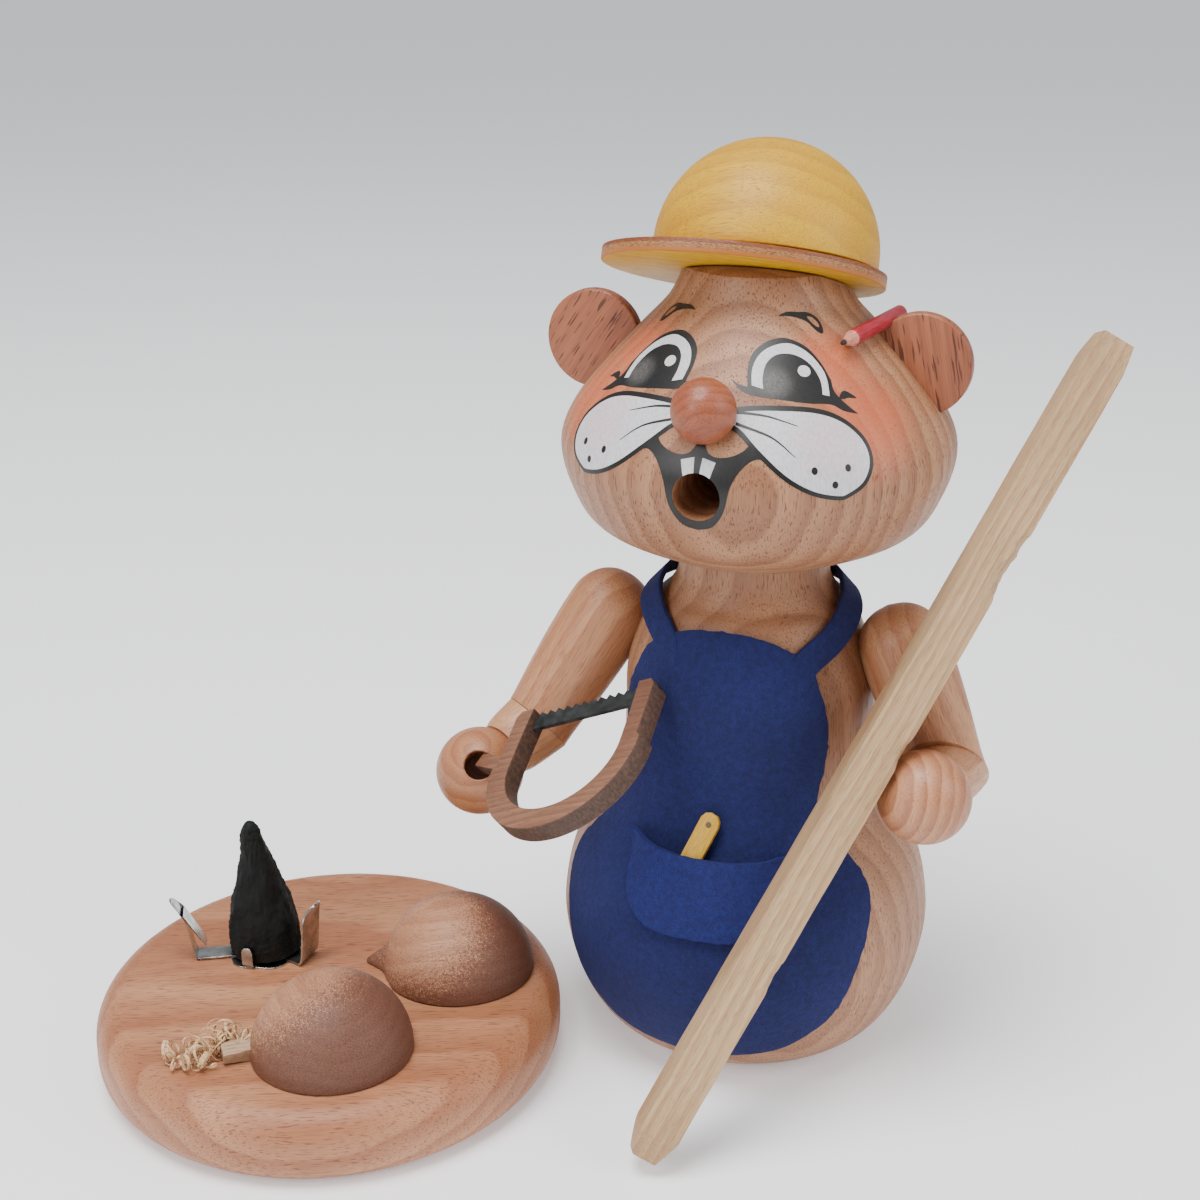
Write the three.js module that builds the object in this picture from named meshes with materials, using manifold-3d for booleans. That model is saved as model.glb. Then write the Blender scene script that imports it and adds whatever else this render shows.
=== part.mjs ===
// Incense smoker: a turned beech beaver in a hard hat and a felt apron, with a saw and a plank.
// It stands beside its base plate, lifted off the sheet-metal holder of the incense cone.
import * as THREE from "three";
import { mergeVertices } from "three/addons/utils/BufferGeometryUtils.js";
import Module from "manifold-3d";

const wasm = await Module();
wasm.setup();

// ---------------------------------------------------------------- driving dimensions
// Millimetres and degrees. The origin is the middle of the plate's underside, +Z is up.
// Right and left are the figure's own.
const GLUE_GAP = 0.3; // between pieces that are glued or seated
const FELT = 1.1; // thickness of the felt

const PLATE = { length: 97.6, depth: 92.8, thickness: 15, edge: 6, slant: 33 };
const BASE_TURN = 54; // the feet point this far round from the front
const FOOT = { length: 34.5, width: 31, height: 15, apart: 37, forward: 18, splay: 30 };
const HOLDER = { back: 18.5, sheet: 0.4, dishRadius: 7.8 };
const SPRING_ARMS = [
  { angle: 135, width: 4.6, bend: 14.5, reach: 18, height: 13 },
  { angle: 284, width: 6.6, bend: 10, reach: 11.5, height: 13.5 },
  { angle: 47, width: 5.2, bend: 11, reach: 14, height: 13 },
];
const PRONG = { width: 2.4, height: 4.6, angles: [79, 199, 319] };
const TACK = { radius: 0.7, headRadius: 1.8, headHeight: 0.6, length: 8 };
const CONE = { radius: 7.2, height: 28.7, tipRadius: 2 };
const SHAVING = { width: 4, thickness: 0.6, turns: 1.35 };
const CHIP = { length: 7, width: 4.5, thickness: 3 };

const BODY = {
  floorRadius: 22.8,
  bellyRadius: 37.1,
  bellyHeight: 28,
  waistRadius: 25.3,
  waistHeight: 58,
  chestRadius: 24.3,
  chestHeight: 79,
  neckRadius: 14.6,
  neckHeight: 95,
  height: 102.8,
};
const SMOKE_BORE = { radius: 18.8, height: 60, channelRadius: 5 };
const TENON = { radius: 10, height: 7 };
const STAND_OFF = 1.1; // between the plate and the figure beside it
const FIGURE = { back: 15.4, turn: -20 };

const ARM = { shoulderRadius: 8.6, elbowRadius: 7.3, wristRadius: 5.8 };
const SHOULDER = { reach: 30, height: 85 };
const ELBOW = { right: [-42.6, -8.3, 61.8], left: [40.8, -4.7, 62.8] };
const HAND = { radius: 8.8, right: [-49.9, -21.5, 55.5], left: [39.4, -21.1, 64.2] };
const DOWEL = { radius: 2.5, shoulderLength: 16, wristLength: 9 };

const SAW = { length: 37, depth: 29.6, band: 4.6, thickness: 4.3, root: 10.8, overhang: 2.3 };
const SAW_AT = [-42, -20.4, 65.4]; // the blade's left end
const SAW_TURN = [31, -25, -13]; // roll, rise and swing
const SAW_TAB = { length: 7.3, width: 3.2, tilt: 21 };
const GRIP_HOLE = { radius: 2.9, depth: 11, rise: 32, swing: 3 };
const BLADE = { height: 4, thickness: 0.8, teeth: 16, toothHeight: 0.8 };
const PLANK = { side: 7.6, length: 172.5, roll: 20, foot: [-1.2, -62.1, 3.4], past: [-10.2, -4.7, 7.5] };

const APRON = { bottom: 8.5, bibTop: 91.7, collarTop: 95.3, strap: 5.2 };
const POCKET = { halfWidth: 15, top: 50.3, bottom: 35.8, corner: 8.3, depth: 3 };
const RULE = { width: 4, thickness: 1.5, length: 17.5, tilt: 20, at: -0.7, top: 57.5 };

const HEAD = {
  seatRadius: 18.7, radius: 37.5, wideHeight: 20.7, height: 54, crownRadius: 14.5, turn: -1.3,
};
const CHAMBER = { radius: 12.5, top: 32 };
const MOUTH = { radius: 4.4, height: 19.5 };
const NOSE = { radius: 5.8, height: 34.2, stand: 3.6 };
const EAR = { radius: 9.6, thickness: 2.8, height: 37.4, back: 1.6, sunkRight: 3.2, sunkLeft: 6.9 };
const PENCIL = {
  radius: 1.45, length: 23.5, tipLength: 4, azimuth: 50.6, height: 43.9, clear: 3.8, swing: -13, rise: 9,
};
const HAT = { domeRadius: 21, domeHeight: 22.8, height: 51.4, tilt: -20, roll: -0.5 };
const BRIM = { width: 53, depth: 43.6, thickness: 2.5, shift: 3.7, heading: 20 };
const HAT_DOWEL = { radius: 3, intoHead: 12, intoDome: 10 };

// ---------------------------------------------------------------- colours
const paint = (color, roughness, metalness = 0) => ({ color, roughness, metalness });
const BEECH = paint(0xc8a07d, 0.55);
const BASE_BEECH = paint(0xd6a57d, 0.5);
const BROWN_BEECH = paint(0xb46e4b, 0.45);
const STAINED_FOOT = paint(0x966450, 0.6);
const EAR_BEECH = paint(0xa57355, 0.55);
const FELT_BLUE = paint(0x1e2864, 0.95);
const HAT_YELLOW = paint(0xdeaa19, 0.4);
const PLYWOOD = paint(0xb98a4a, 0.6);
const SAW_WOOD = paint(0x8c6a50, 0.7);
const BLADE_GREY = paint(0x464b4b, 0.5);
const PINE = paint(0xcdb496, 0.6);
const TINPLATE = paint(0xc4c6c4, 0.25, 1);
const INCENSE = paint(0x1c1e1c, 0.9);
const SHAVED_WOOD = paint(0xe1be91, 0.7);
const RULE_YELLOW = paint(0xd7af32, 0.45);
const PENCIL_RED = paint(0xbe3c4b, 0.4);

// ---------------------------------------------------------------- helpers
const rad = THREE.MathUtils.degToRad;
const at = (array) => new THREE.Vector3(...array);

// A closed geometry as a manifold-3d solid.
function solid(geometry) {
  const bare = geometry.index ? geometry.toNonIndexed() : geometry.clone();
  bare.deleteAttribute("normal");
  bare.deleteAttribute("uv");
  const merged = mergeVertices(bare, 1e-4);
  const vertProperties = merged.getAttribute("position").array;
  const triVerts = new Uint32Array(merged.index.array);
  return new wasm.Manifold(new wasm.Mesh({ numProp: 3, vertProperties, triVerts }));
}

// A manifold-3d solid as a three.js geometry.
function geometryOf(made) {
  const mesh = made.getMesh();
  const geometry = new THREE.BufferGeometry();
  geometry.setAttribute("position", new THREE.BufferAttribute(mesh.vertProperties, 3));
  geometry.setIndex(new THREE.BufferAttribute(mesh.triVerts, 1));
  geometry.computeVertexNormals();
  return geometry;
}

const cut = (whole, ...tools) =>
  geometryOf(tools.reduce((left, tool) => left.subtract(solid(tool)), solid(whole)));
const join = (first, ...others) =>
  geometryOf(others.reduce((sum, other) => sum.add(solid(other)), solid(first)));
const common = (a, b) => geometryOf(solid(a).intersect(solid(b)));

function named(name, geometry, finish) {
  const mesh = new THREE.Mesh(geometry, new THREE.MeshStandardMaterial(finish));
  mesh.name = name;
  return mesh;
}

// A turned shape about Z from [radius, height] pairs that start and end on the axis or close.
function turned(profile, segments = 32) {
  const points = profile.map(([r, z]) => new THREE.Vector2(r, z));
  return new THREE.LatheGeometry(points, segments).rotateX(Math.PI / 2);
}

function box(width, depth, height) {
  return new THREE.BoxGeometry(width, depth, height);
}

function ball(radius) {
  return new THREE.SphereGeometry(radius, 20, 12).rotateX(Math.PI / 2);
}

// A rod of one radius between two points.
function rod(from, to, radius, segments = 12) {
  const along = to.clone().sub(from);
  const length = along.length();
  const geometry = turned([[0, 0], [radius, 0], [radius, length], [0, length]], segments);
  return aim(geometry, from, along);
}

// Turns a geometry that stands on +Z to point along a direction, and moves its foot to a point.
function aim(geometry, from, along) {
  const up = new THREE.Vector3(0, 0, 1);
  const turn = new THREE.Quaternion().setFromUnitVectors(up, along.clone().normalize());
  return geometry.applyQuaternion(turn).translate(from.x, from.y, from.z);
}

// A smooth line through [radius, height] pairs.
function smooth(pairs, steps) {
  const curve = new THREE.SplineCurve(pairs.map(([r, z]) => new THREE.Vector2(r, z)));
  return curve.getPoints(steps).map((p) => [p.x, p.y]);
}

// The radius of a turned profile at a height.
function radiusAt(profile, height) {
  const above = profile.findIndex(([, z]) => z >= height);
  if (above <= 0) return profile[above === 0 ? 0 : profile.length - 1][0];
  const [r0, z0] = profile[above - 1];
  const [r1, z1] = profile[above];
  return r0 + ((r1 - r0) * (height - z0)) / (z1 - z0);
}

// A half space as a large block whose top face passes through a point, facing along a normal.
function blockBelow(point, normal, size = 300) {
  return aim(box(size, size, size).translate(0, 0, -size / 2), point, normal);
}

// ---------------------------------------------------------------- base plate and what is on it
function basePlate() {
  const oval = new THREE.Shape().absellipse(
    0, 0, PLATE.length / 2 - PLATE.edge, PLATE.depth / 2 - PLATE.edge, 0, 2 * Math.PI,
  );
  const plate = new THREE.ExtrudeGeometry(oval, {
    depth: PLATE.thickness - 2 * PLATE.edge,
    bevelThickness: PLATE.edge,
    bevelSize: PLATE.edge,
    bevelSegments: 3,
    curveSegments: 32,
  }).translate(0, 0, PLATE.edge).rotateZ(rad(PLATE.slant));
  const top = new THREE.Vector3(0, HOLDER.back, PLATE.thickness + 1);
  const bottom = new THREE.Vector3(0, HOLDER.back, PLATE.thickness - TACK.length);
  return named("base_plate", cut(plate, rod(top, bottom, TACK.radius + GLUE_GAP)), BASE_BEECH);
}

// Half of a turned drop: a round toe, a pointed heel, sawn flat along its axis.
function foot(name, side) {
  const round = FOOT.width / 2;
  const toe = FOOT.length - round;
  const profile = [[0, 0], [0.9, 0.5], [round * 0.24, round * 0.26]];
  for (let angle = 40; angle < 180; angle += 14) {
    profile.push([round * Math.sin(rad(angle)), toe - round * Math.cos(rad(angle))]);
  }
  const drop = turned([...profile, [0, FOOT.length]], 22);
  drop.scale(1, (2 * FOOT.height) / FOOT.width, 1);
  drop.translate(0, 0, -toe).rotateX(Math.PI / 2);
  const half = cut(drop, blockBelow(new THREE.Vector3(), new THREE.Vector3(0, 0, 1), 100));
  const mesh = named(name, half, STAINED_FOOT);
  mesh.rotation.z = rad(FOOT.splay) * side;
  mesh.position.set((side * FOOT.apart) / 2, -FOOT.forward, PLATE.thickness + GLUE_GAP);
  return mesh;
}

// One strip of the sheet, as a bent band in the XZ plane, turned to its place round the dish.
function bentStrip(width, points, angle) {
  const outline = new THREE.Shape();
  const lower = points.map(([r, z]) => new THREE.Vector2(r, z));
  const upper = [...points].reverse().map(([r, z, dr = 0, dz = HOLDER.sheet]) => (
    new THREE.Vector2(r + dr, z + dz)
  ));
  outline.setFromPoints([...lower, ...upper]);
  return new THREE.ExtrudeGeometry(outline, { depth: width, bevelEnabled: false })
    .translate(0, 0, -width / 2)
    .rotateX(Math.PI / 2)
    .rotateZ(rad(angle));
}

// A stamped dish with three prongs round the cone and three spring arms for the figure's bore.
function coneHolder() {
  const sheet = HOLDER.sheet;
  const dish = turned(
    [[0, 0], [HOLDER.dishRadius, 0], [HOLDER.dishRadius, sheet], [0, sheet]], 30,
  );
  const inner = HOLDER.dishRadius - 2;
  const arms = SPRING_ARMS.map(({ angle, width, bend, reach, height }) => bentStrip(width, [
    [inner, 0],
    [bend, 0, -sheet, sheet],
    [reach, height, -sheet, 0],
  ], angle));
  const prongs = PRONG.angles.map((angle) => bentStrip(PRONG.width, [
    [inner, 0],
    [HOLDER.dishRadius + sheet, 0, -sheet, sheet],
    [HOLDER.dishRadius + sheet, PRONG.height, -sheet, 0],
  ], angle));
  const hole = rod(new THREE.Vector3(0, 0, -1), new THREE.Vector3(0, 0, 2), TACK.radius + GLUE_GAP);
  const holder = named("cone_holder", cut(join(dish, ...arms, ...prongs), hole), TINPLATE);
  holder.position.set(0, HOLDER.back, PLATE.thickness + GLUE_GAP);
  return holder;
}

function holderTack() {
  const under = PLATE.thickness + GLUE_GAP + HOLDER.sheet + GLUE_GAP;
  const point = -TACK.length + 1;
  const tack = named("holder_tack", turned([
    [0, point], [TACK.radius, point + 1.5], [TACK.radius, 0], [TACK.headRadius, 0],
    [TACK.headRadius * 0.7, TACK.headHeight], [0, TACK.headHeight],
  ], 16), TINPLATE);
  tack.position.set(0, HOLDER.back, under);
  return tack;
}

// Pressed incense powder, hollowed a little underneath so that it stands over the tack's head.
function incenseCone() {
  const { radius, height, tipRadius } = CONE;
  const hollow = TACK.headRadius + 1;
  const profile = [
    [hollow, 0], [radius, 0], [radius, 1.5], [tipRadius * 1.15, height - 3],
    [tipRadius * 0.9, height - 1], [0, height], [0, TACK.headHeight + 1],
  ];
  const cone = named("incense_cone", turned([[0, TACK.headHeight + 1], ...profile.slice(0, -1)], 28), INCENSE);
  cone.position.set(0, HOLDER.back, PLATE.thickness + 2 * GLUE_GAP + HOLDER.sheet);
  return cone;
}

// A curled plane shaving: a spiral band standing on its edge or lying on its side.
function shaving(name, x, y, radius, lying) {
  const inner = [];
  const outer = [];
  const steps = 18;
  for (let i = 0; i <= steps; i += 1) {
    const angle = (2 * Math.PI * SHAVING.turns * i) / steps;
    const r = radius * (0.42 + (0.58 * i) / steps);
    inner.push(new THREE.Vector2(r * Math.cos(angle), r * Math.sin(angle)));
    const o = r + SHAVING.thickness;
    outer.push(new THREE.Vector2(o * Math.cos(angle), o * Math.sin(angle)));
  }
  const outline = new THREE.Shape([...inner, ...outer.reverse()]);
  const curl = new THREE.ExtrudeGeometry(outline, { depth: SHAVING.width, bevelEnabled: false });
  if (lying) curl.rotateX(Math.PI / 2);
  curl.computeBoundingBox();
  curl.translate(0, 0, -curl.boundingBox.min.z);
  const mesh = named(name, curl, SHAVED_WOOD);
  mesh.position.set(x, y, PLATE.thickness + GLUE_GAP);
  return mesh;
}

function woodChip(x, y) {
  const outline = new THREE.Shape([
    new THREE.Vector2(-CHIP.length / 2, 0),
    new THREE.Vector2(CHIP.length / 2, 0),
    new THREE.Vector2(CHIP.length / 4, CHIP.thickness),
    new THREE.Vector2(-CHIP.length / 4, CHIP.thickness * 0.8),
  ]);
  const chip = new THREE.ExtrudeGeometry(outline, { depth: CHIP.width, bevelEnabled: false })
    .translate(0, 0, -CHIP.width / 2)
    .rotateX(Math.PI / 2);
  const mesh = named("wood_chip", chip, SHAVED_WOOD);
  mesh.position.set(x, y, PLATE.thickness + GLUE_GAP);
  mesh.rotation.z = rad(-40);
  return mesh;
}

// ---------------------------------------------------------------- turned body
// The outer line from the floor to the neck.
function bodyOutline() {
  const b = BODY;
  const line = smooth([
    [b.floorRadius, 0],
    [b.bellyRadius * 0.733, b.bellyHeight * 0.09],
    [b.bellyRadius * 0.83, b.bellyHeight * 0.21],
    [b.bellyRadius * 0.922, b.bellyHeight * 0.43],
    [b.bellyRadius * 0.984, b.bellyHeight * 0.71],
    [b.bellyRadius, b.bellyHeight],
    [(b.bellyRadius * 0.8 + b.waistRadius * 0.2), b.bellyHeight * 0.63 + b.waistHeight * 0.37],
    [(b.bellyRadius * 0.26 + b.waistRadius * 0.74), b.bellyHeight * 0.27 + b.waistHeight * 0.73],
    [b.waistRadius, b.waistHeight],
    [(b.waistRadius + b.chestRadius) / 2, (b.waistHeight + b.chestHeight) / 2],
    [b.chestRadius, b.chestHeight],
    [b.chestRadius * 0.57 + b.neckRadius * 0.43, b.chestHeight * 0.3 + b.neckHeight * 0.7],
    [b.neckRadius, b.neckHeight],
  ], 24);
  return [...line, [b.neckRadius, b.height - GLUE_GAP]];
}

const BODY_LINE = bodyOutline();

function shoulderDowelRod(side, extra) {
  const inner = SHOULDER.reach - DOWEL.shoulderLength + 4;
  const from = new THREE.Vector3(side * (inner - extra), 0, SHOULDER.height);
  const to = new THREE.Vector3(side * (inner + DOWEL.shoulderLength + extra), 0, SHOULDER.height);
  return rod(from, to, DOWEL.radius + extra);
}

// The body: a smoke chamber bored from below, and a channel up through the neck and its tenon.
function torso() {
  const bore = SMOKE_BORE;
  const top = BODY.height + TENON.height;
  const profile = [
    ...BODY_LINE,
    [TENON.radius, BODY.height - GLUE_GAP],
    [TENON.radius, top],
    [bore.channelRadius, top],
    [bore.channelRadius, bore.height + bore.radius / 2],
    [bore.radius, bore.height],
    [bore.radius, 0],
    BODY_LINE[0],
  ];
  const holes = [-1, 1].map((side) => shoulderDowelRod(side, GLUE_GAP));
  return named("torso", cut(turned(profile, 40), ...holes), BEECH);
}

// A copy of the body's outside, grown by a distance, to trim what lies against it.
function bodyBlank(grow) {
  const line = BODY_LINE.map(([r, z]) => [r + grow, z]);
  const top = BODY.height - GLUE_GAP;
  return turned([[0, 0], ...line, [0, top]], 40);
}

// ---------------------------------------------------------------- arms
// A tapered length of an arm with a round end at its start.
function armBlank(from, to, startRadius, endRadius, beyond) {
  const along = to.clone().sub(from);
  const length = along.length() + beyond;
  const profile = [[0, -startRadius]];
  for (let angle = 20; angle <= 80; angle += 20) {
    profile.push([startRadius * Math.sin(rad(angle)), -startRadius * Math.cos(rad(angle))]);
  }
  const swell = (t) => startRadius + (endRadius - startRadius) * t * t * (3 - 2 * t);
  for (const t of [0, 0.25, 0.5, 0.75, 1]) profile.push([swell(t), length * t]);
  profile.push([0, length]);
  return aim(turned(profile, 20), from, along);
}

// The upper arm is trimmed to the body; both lengths meet on a mitre at the elbow.
function arm(side, name) {
  const shoulder = new THREE.Vector3(side * SHOULDER.reach, 0, SHOULDER.height);
  const elbow = at(ELBOW[name]);
  const hand = at(HAND[name]);
  const down = elbow.clone().sub(shoulder).normalize();
  const out = hand.clone().sub(elbow).normalize();
  const mitre = down.clone().add(out).normalize();
  const half = mitre.clone().multiplyScalar(GLUE_GAP / 2);
  const wrist = rod(
    hand.clone().sub(out.clone().multiplyScalar(HAND.radius + DOWEL.wristLength / 2 + GLUE_GAP)),
    hand, DOWEL.radius + GLUE_GAP,
  );
  const upper = cut(
    armBlank(shoulder, elbow, ARM.shoulderRadius, ARM.elbowRadius, ARM.elbowRadius * 1.6),
    blockBelow(elbow.clone().sub(half), mitre.clone().negate()),
    bodyBlank(GLUE_GAP),
    shoulderDowelRod(side, GLUE_GAP),
    wrist,
  );
  const start = elbow.clone().sub(out.clone().multiplyScalar(ARM.elbowRadius * 1.6));
  const blank = aim(
    turned([
      [0, 0], [ARM.elbowRadius, 0], [ARM.elbowRadius, ARM.elbowRadius * 1.6],
      [(ARM.elbowRadius + ARM.wristRadius) / 2, start.distanceTo(hand) * 0.72],
      [ARM.wristRadius, start.distanceTo(hand) * 0.9], [0, start.distanceTo(hand) * 0.9],
    ], 20), start, out,
  );
  const palm = ball(HAND.radius + GLUE_GAP).translate(hand.x, hand.y, hand.z);
  const lower = cut(blank, blockBelow(elbow.clone().add(half), mitre), palm, wrist);
  return [
    named(`upper_arm_${name}`, upper, BEECH),
    named(`forearm_${name}`, lower, BEECH),
    named(`shoulder_dowel_${name}`, shoulderDowelRod(side, 0), BEECH),
    wristDowel(name, hand, out),
  ];
}

function wristDowel(name, hand, out) {
  const middle = hand.clone().sub(out.clone().multiplyScalar(HAND.radius));
  const half = out.clone().multiplyScalar(DOWEL.wristLength / 2 - GLUE_GAP);
  const pin = rod(middle.clone().sub(half), middle.clone().add(half), DOWEL.radius);
  return named(`wrist_dowel_${name}`, pin, BEECH);
}

// The bore of a hand for its wrist dowel.
function wristBore(name) {
  const hand = at(HAND[name]);
  const out = hand.clone().sub(at(ELBOW[name])).normalize();
  const mouth = hand.clone().sub(out.clone().multiplyScalar(HAND.radius + 1));
  const end = hand.clone().sub(out.clone().multiplyScalar(HAND.radius - DOWEL.wristLength / 2));
  return rod(mouth, end, DOWEL.radius + GLUE_GAP);
}

function rightHand(sawTool) {
  const hand = at(HAND.right);
  const swing = rad(GRIP_HOLE.swing);
  const rise = rad(GRIP_HOLE.rise);
  const toFront = new THREE.Vector3(
    Math.sin(swing) * Math.cos(rise), -Math.cos(swing) * Math.cos(rise), Math.sin(rise),
  );
  const mouth = hand.clone().add(toFront.clone().multiplyScalar(HAND.radius + 1));
  const end = mouth.clone().sub(toFront.clone().multiplyScalar(GRIP_HOLE.depth));
  const hole = rod(mouth, end, GRIP_HOLE.radius, 16);
  const sphere = ball(HAND.radius).translate(hand.x, hand.y, hand.z);
  return named("hand_right", cut(sphere, wristBore("right"), hole, sawTool), BEECH);
}

function leftHand(plankTool) {
  const hand = at(HAND.left);
  const sphere = ball(HAND.radius).translate(hand.x, hand.y, hand.z);
  return named("hand_left", cut(sphere, wristBore("left"), plankTool), BEECH);
}

// ---------------------------------------------------------------- saw
// The bow's outline in its own plane: the blade runs along +X, the bow hangs towards -Y.
function bowOutline(inset, top) {
  const half = SAW.length / 2;
  const width = half - inset;
  const round = SAW.depth - inset;
  const upright = SAW.depth * 0.42;
  const points = [new THREE.Vector2(half - width * 0.9, top)];
  for (let angle = 180; angle <= 360; angle += 15) {
    const x = half + width * Math.cos(rad(angle));
    const y = -upright + (round - upright) * Math.sin(rad(angle));
    points.push(new THREE.Vector2(x, y));
  }
  points.push(new THREE.Vector2(half + width * 0.9, top));
  return points;
}

function sawShape() {
  const outer = bowOutline(0, SAW.overhang);
  const inner = bowOutline(SAW.band, SAW.overhang).reverse();
  return new THREE.Shape([...outer, ...inner]);
}

function sawBlank(grow) {
  const thickness = SAW.thickness + 2 * grow;
  const bow = new THREE.ExtrudeGeometry(sawShape(), { depth: thickness, bevelEnabled: false })
    .translate(0, 0, -thickness / 2);
  const width = SAW_TAB.width + 2 * grow;
  const tab = box(SAW_TAB.length + SAW.band + grow, width, width)
    .translate(-(SAW_TAB.length + grow) / 2, 0, 0)
    .rotateZ(rad(SAW_TAB.tilt) * -1)
    .translate(SAW.band / 2, -SAW.root, 0);
  return { bow, tab };
}

function placeSaw(object) {
  object.rotation.set(...SAW_TURN.map(rad), "ZYX");
  object.position.set(...SAW_AT);
  object.updateMatrix();
  return object;
}

function bladeSlot() {
  return box(SAW.length * 2, BLADE.height + 2 * GLUE_GAP, BLADE.thickness + 2 * GLUE_GAP)
    .translate(SAW.length / 2, SAW.overhang - BLADE.height / 2 - GLUE_GAP + 1, 0);
}

// Sawn from thin board; the blade's ends sit in a slot across both uprights.
function sawFrame() {
  const { bow, tab } = sawBlank(0);
  return placeSaw(named("saw_frame", cut(join(bow, tab), bladeSlot()), SAW_WOOD));
}

function sawBlade() {
  const end = SAW.length * 0.03;
  const top = SAW.overhang - BLADE.toothHeight;
  const points = [new THREE.Vector2(end, top - BLADE.height + BLADE.toothHeight + 0.6)];
  points.push(new THREE.Vector2(SAW.length - end, top - BLADE.height + BLADE.toothHeight + 0.6));
  const pitch = (SAW.length - 2 * end) / BLADE.teeth;
  for (let i = BLADE.teeth; i > 0; i -= 1) {
    points.push(new THREE.Vector2(end + i * pitch, top));
    points.push(new THREE.Vector2(end + (i - 0.8) * pitch, top + BLADE.toothHeight));
  }
  points.push(new THREE.Vector2(end, top));
  const blade = new THREE.ExtrudeGeometry(new THREE.Shape(points), {
    depth: BLADE.thickness, bevelEnabled: false,
  }).translate(0, 0, -BLADE.thickness / 2);
  return placeSaw(named("saw_blade", blade, BLADE_GREY));
}

// The tab's room in the right hand.
function sawTool() {
  const holder = placeSaw(new THREE.Object3D());
  return sawBlank(GLUE_GAP).tab.applyMatrix4(holder.matrix);
}

// ---------------------------------------------------------------- plank
// It leans past the left hand, which has a flat sanded for it.
function plankBlank(grow) {
  const foot = at(PLANK.foot);
  const reach = HAND.radius + PLANK.side / 2 + GLUE_GAP;
  const past = at(HAND.left).add(at(PLANK.past).setLength(reach));
  const side = PLANK.side + 2 * grow;
  const blank = box(side, side, PLANK.length + 2 * grow)
    .translate(0, 0, PLANK.length / 2)
    .rotateZ(rad(PLANK.roll));
  return aim(blank, foot, past.sub(foot));
}

// ---------------------------------------------------------------- apron
// A layer wrapped round the body between two distances from it.
function layer(inside, outside) {
  const from = APRON.bottom - 4;
  const line = BODY_LINE.filter(([, z]) => z > from && z < BODY.height - 2);
  const outer = line.map(([r, z]) => [r + outside, z]);
  const inner = line.map(([r, z]) => [r + inside, z]).reverse();
  return turned([...outer, ...inner, outer[0]], 40);
}

// A front outline as a block that runs back to the middle of the body.
function frontBlock(points) {
  const outline = new THREE.Shape(points.map(([x, z]) => new THREE.Vector2(x, z)));
  return new THREE.ExtrudeGeometry(outline, { depth: 80, bevelEnabled: false })
    .rotateX(Math.PI / 2);
}

// Half of the apron's edge, from the middle of its hem to the middle of its bib.
function apronEdge() {
  const b = APRON.bottom;
  const hip = radiusAt(BODY_LINE, BODY.bellyHeight + 10) * 0.87;
  const waist = BODY.waistRadius * 0.755;
  const chest = BODY.chestRadius * 0.825;
  const low = [
    [0, b], [hip * 0.28, b + 0.6], [hip * 0.56, b + 3], [hip * 0.8, b + 8.6],
    [hip * 0.92, b + 15.5], [hip, b + 26], [hip * 0.96, b + 34], [hip * 0.78, b + 41.5],
    [waist, BODY.waistHeight - 1], [chest, BODY.chestHeight - 7],
    [chest * 0.96, BODY.chestHeight - 1], [chest * 0.86, BODY.chestHeight + 4.5],
  ];
  const curve = new THREE.SplineCurve(low.map(([x, z]) => new THREE.Vector2(x, z)));
  const shoulderSlope = [
    [BODY.neckRadius + 3.4, BODY.neckHeight - 3],
    [BODY.neckRadius + 1.5, APRON.collarTop],
    [BODY.neckRadius - 4.5, APRON.collarTop],
    [BODY.neckRadius - 3, APRON.bibTop - 3.6],
    [BODY.neckRadius * 0.45, APRON.bibTop - 0.6],
  ];
  return [...curve.getPoints(22).map((p) => [p.x, p.y]), ...shoulderSlope];
}

function apron() {
  const half = apronEdge();
  const mirrored = half.slice(1).reverse().map(([x, z]) => [-x, z]);
  const front = frontBlock([...half, [0, APRON.bibTop], ...mirrored]);
  const collarHeight = APRON.strap;
  const collar = box(80, 80, collarHeight)
    .translate(0, 40 - BODY.neckRadius / 2, APRON.collarTop - collarHeight / 2);
  const whole = common(layer(GLUE_GAP, GLUE_GAP + FELT), join(front, collar));
  return named("apron", whole, FELT_BLUE);
}

function pocketOutline() {
  const { halfWidth, top, bottom, corner } = POCKET;
  const points = [[-halfWidth, top + 1.2], [-halfWidth, bottom + corner]];
  for (let angle = 195; angle <= 255; angle += 15) {
    points.push([
      -halfWidth + corner + corner * Math.cos(rad(angle)),
      bottom + corner + corner * Math.sin(rad(angle)),
    ]);
  }
  points.push([-halfWidth + corner, bottom], [halfWidth - corner, bottom]);
  for (let angle = 285; angle <= 345; angle += 15) {
    points.push([
      halfWidth - corner + corner * Math.cos(rad(angle)),
      bottom + corner + corner * Math.sin(rad(angle)),
    ]);
  }
  points.push([halfWidth, bottom + corner], [halfWidth, top]);
  return points;
}

const POCKET_BACK = 2 * GLUE_GAP + FELT;

function ruleBlank(grow) {
  const y = radiusAt(BODY_LINE, RULE.top) + POCKET_BACK + RULE.thickness / 2 + GLUE_GAP;
  const slope = radiusAt(BODY_LINE, POCKET.bottom + 6) - radiusAt(BODY_LINE, RULE.top);
  const lean = Math.atan2(slope, RULE.top - POCKET.bottom - 6);
  return box(RULE.width + 2 * grow, RULE.thickness + 2 * grow, RULE.length + 2 * grow)
    .translate(0, 0, -RULE.length / 2)
    .rotateY(rad(RULE.tilt))
    .rotateX(-lean)
    .translate(RULE.at + 2, -y, RULE.top);
}

function apronPocket() {
  const outside = POCKET_BACK + GLUE_GAP + POCKET.depth;
  const whole = common(layer(POCKET_BACK, outside), frontBlock(pocketOutline()));
  return named("apron_pocket", cut(whole, ruleBlank(GLUE_GAP)), FELT_BLUE);
}

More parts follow.
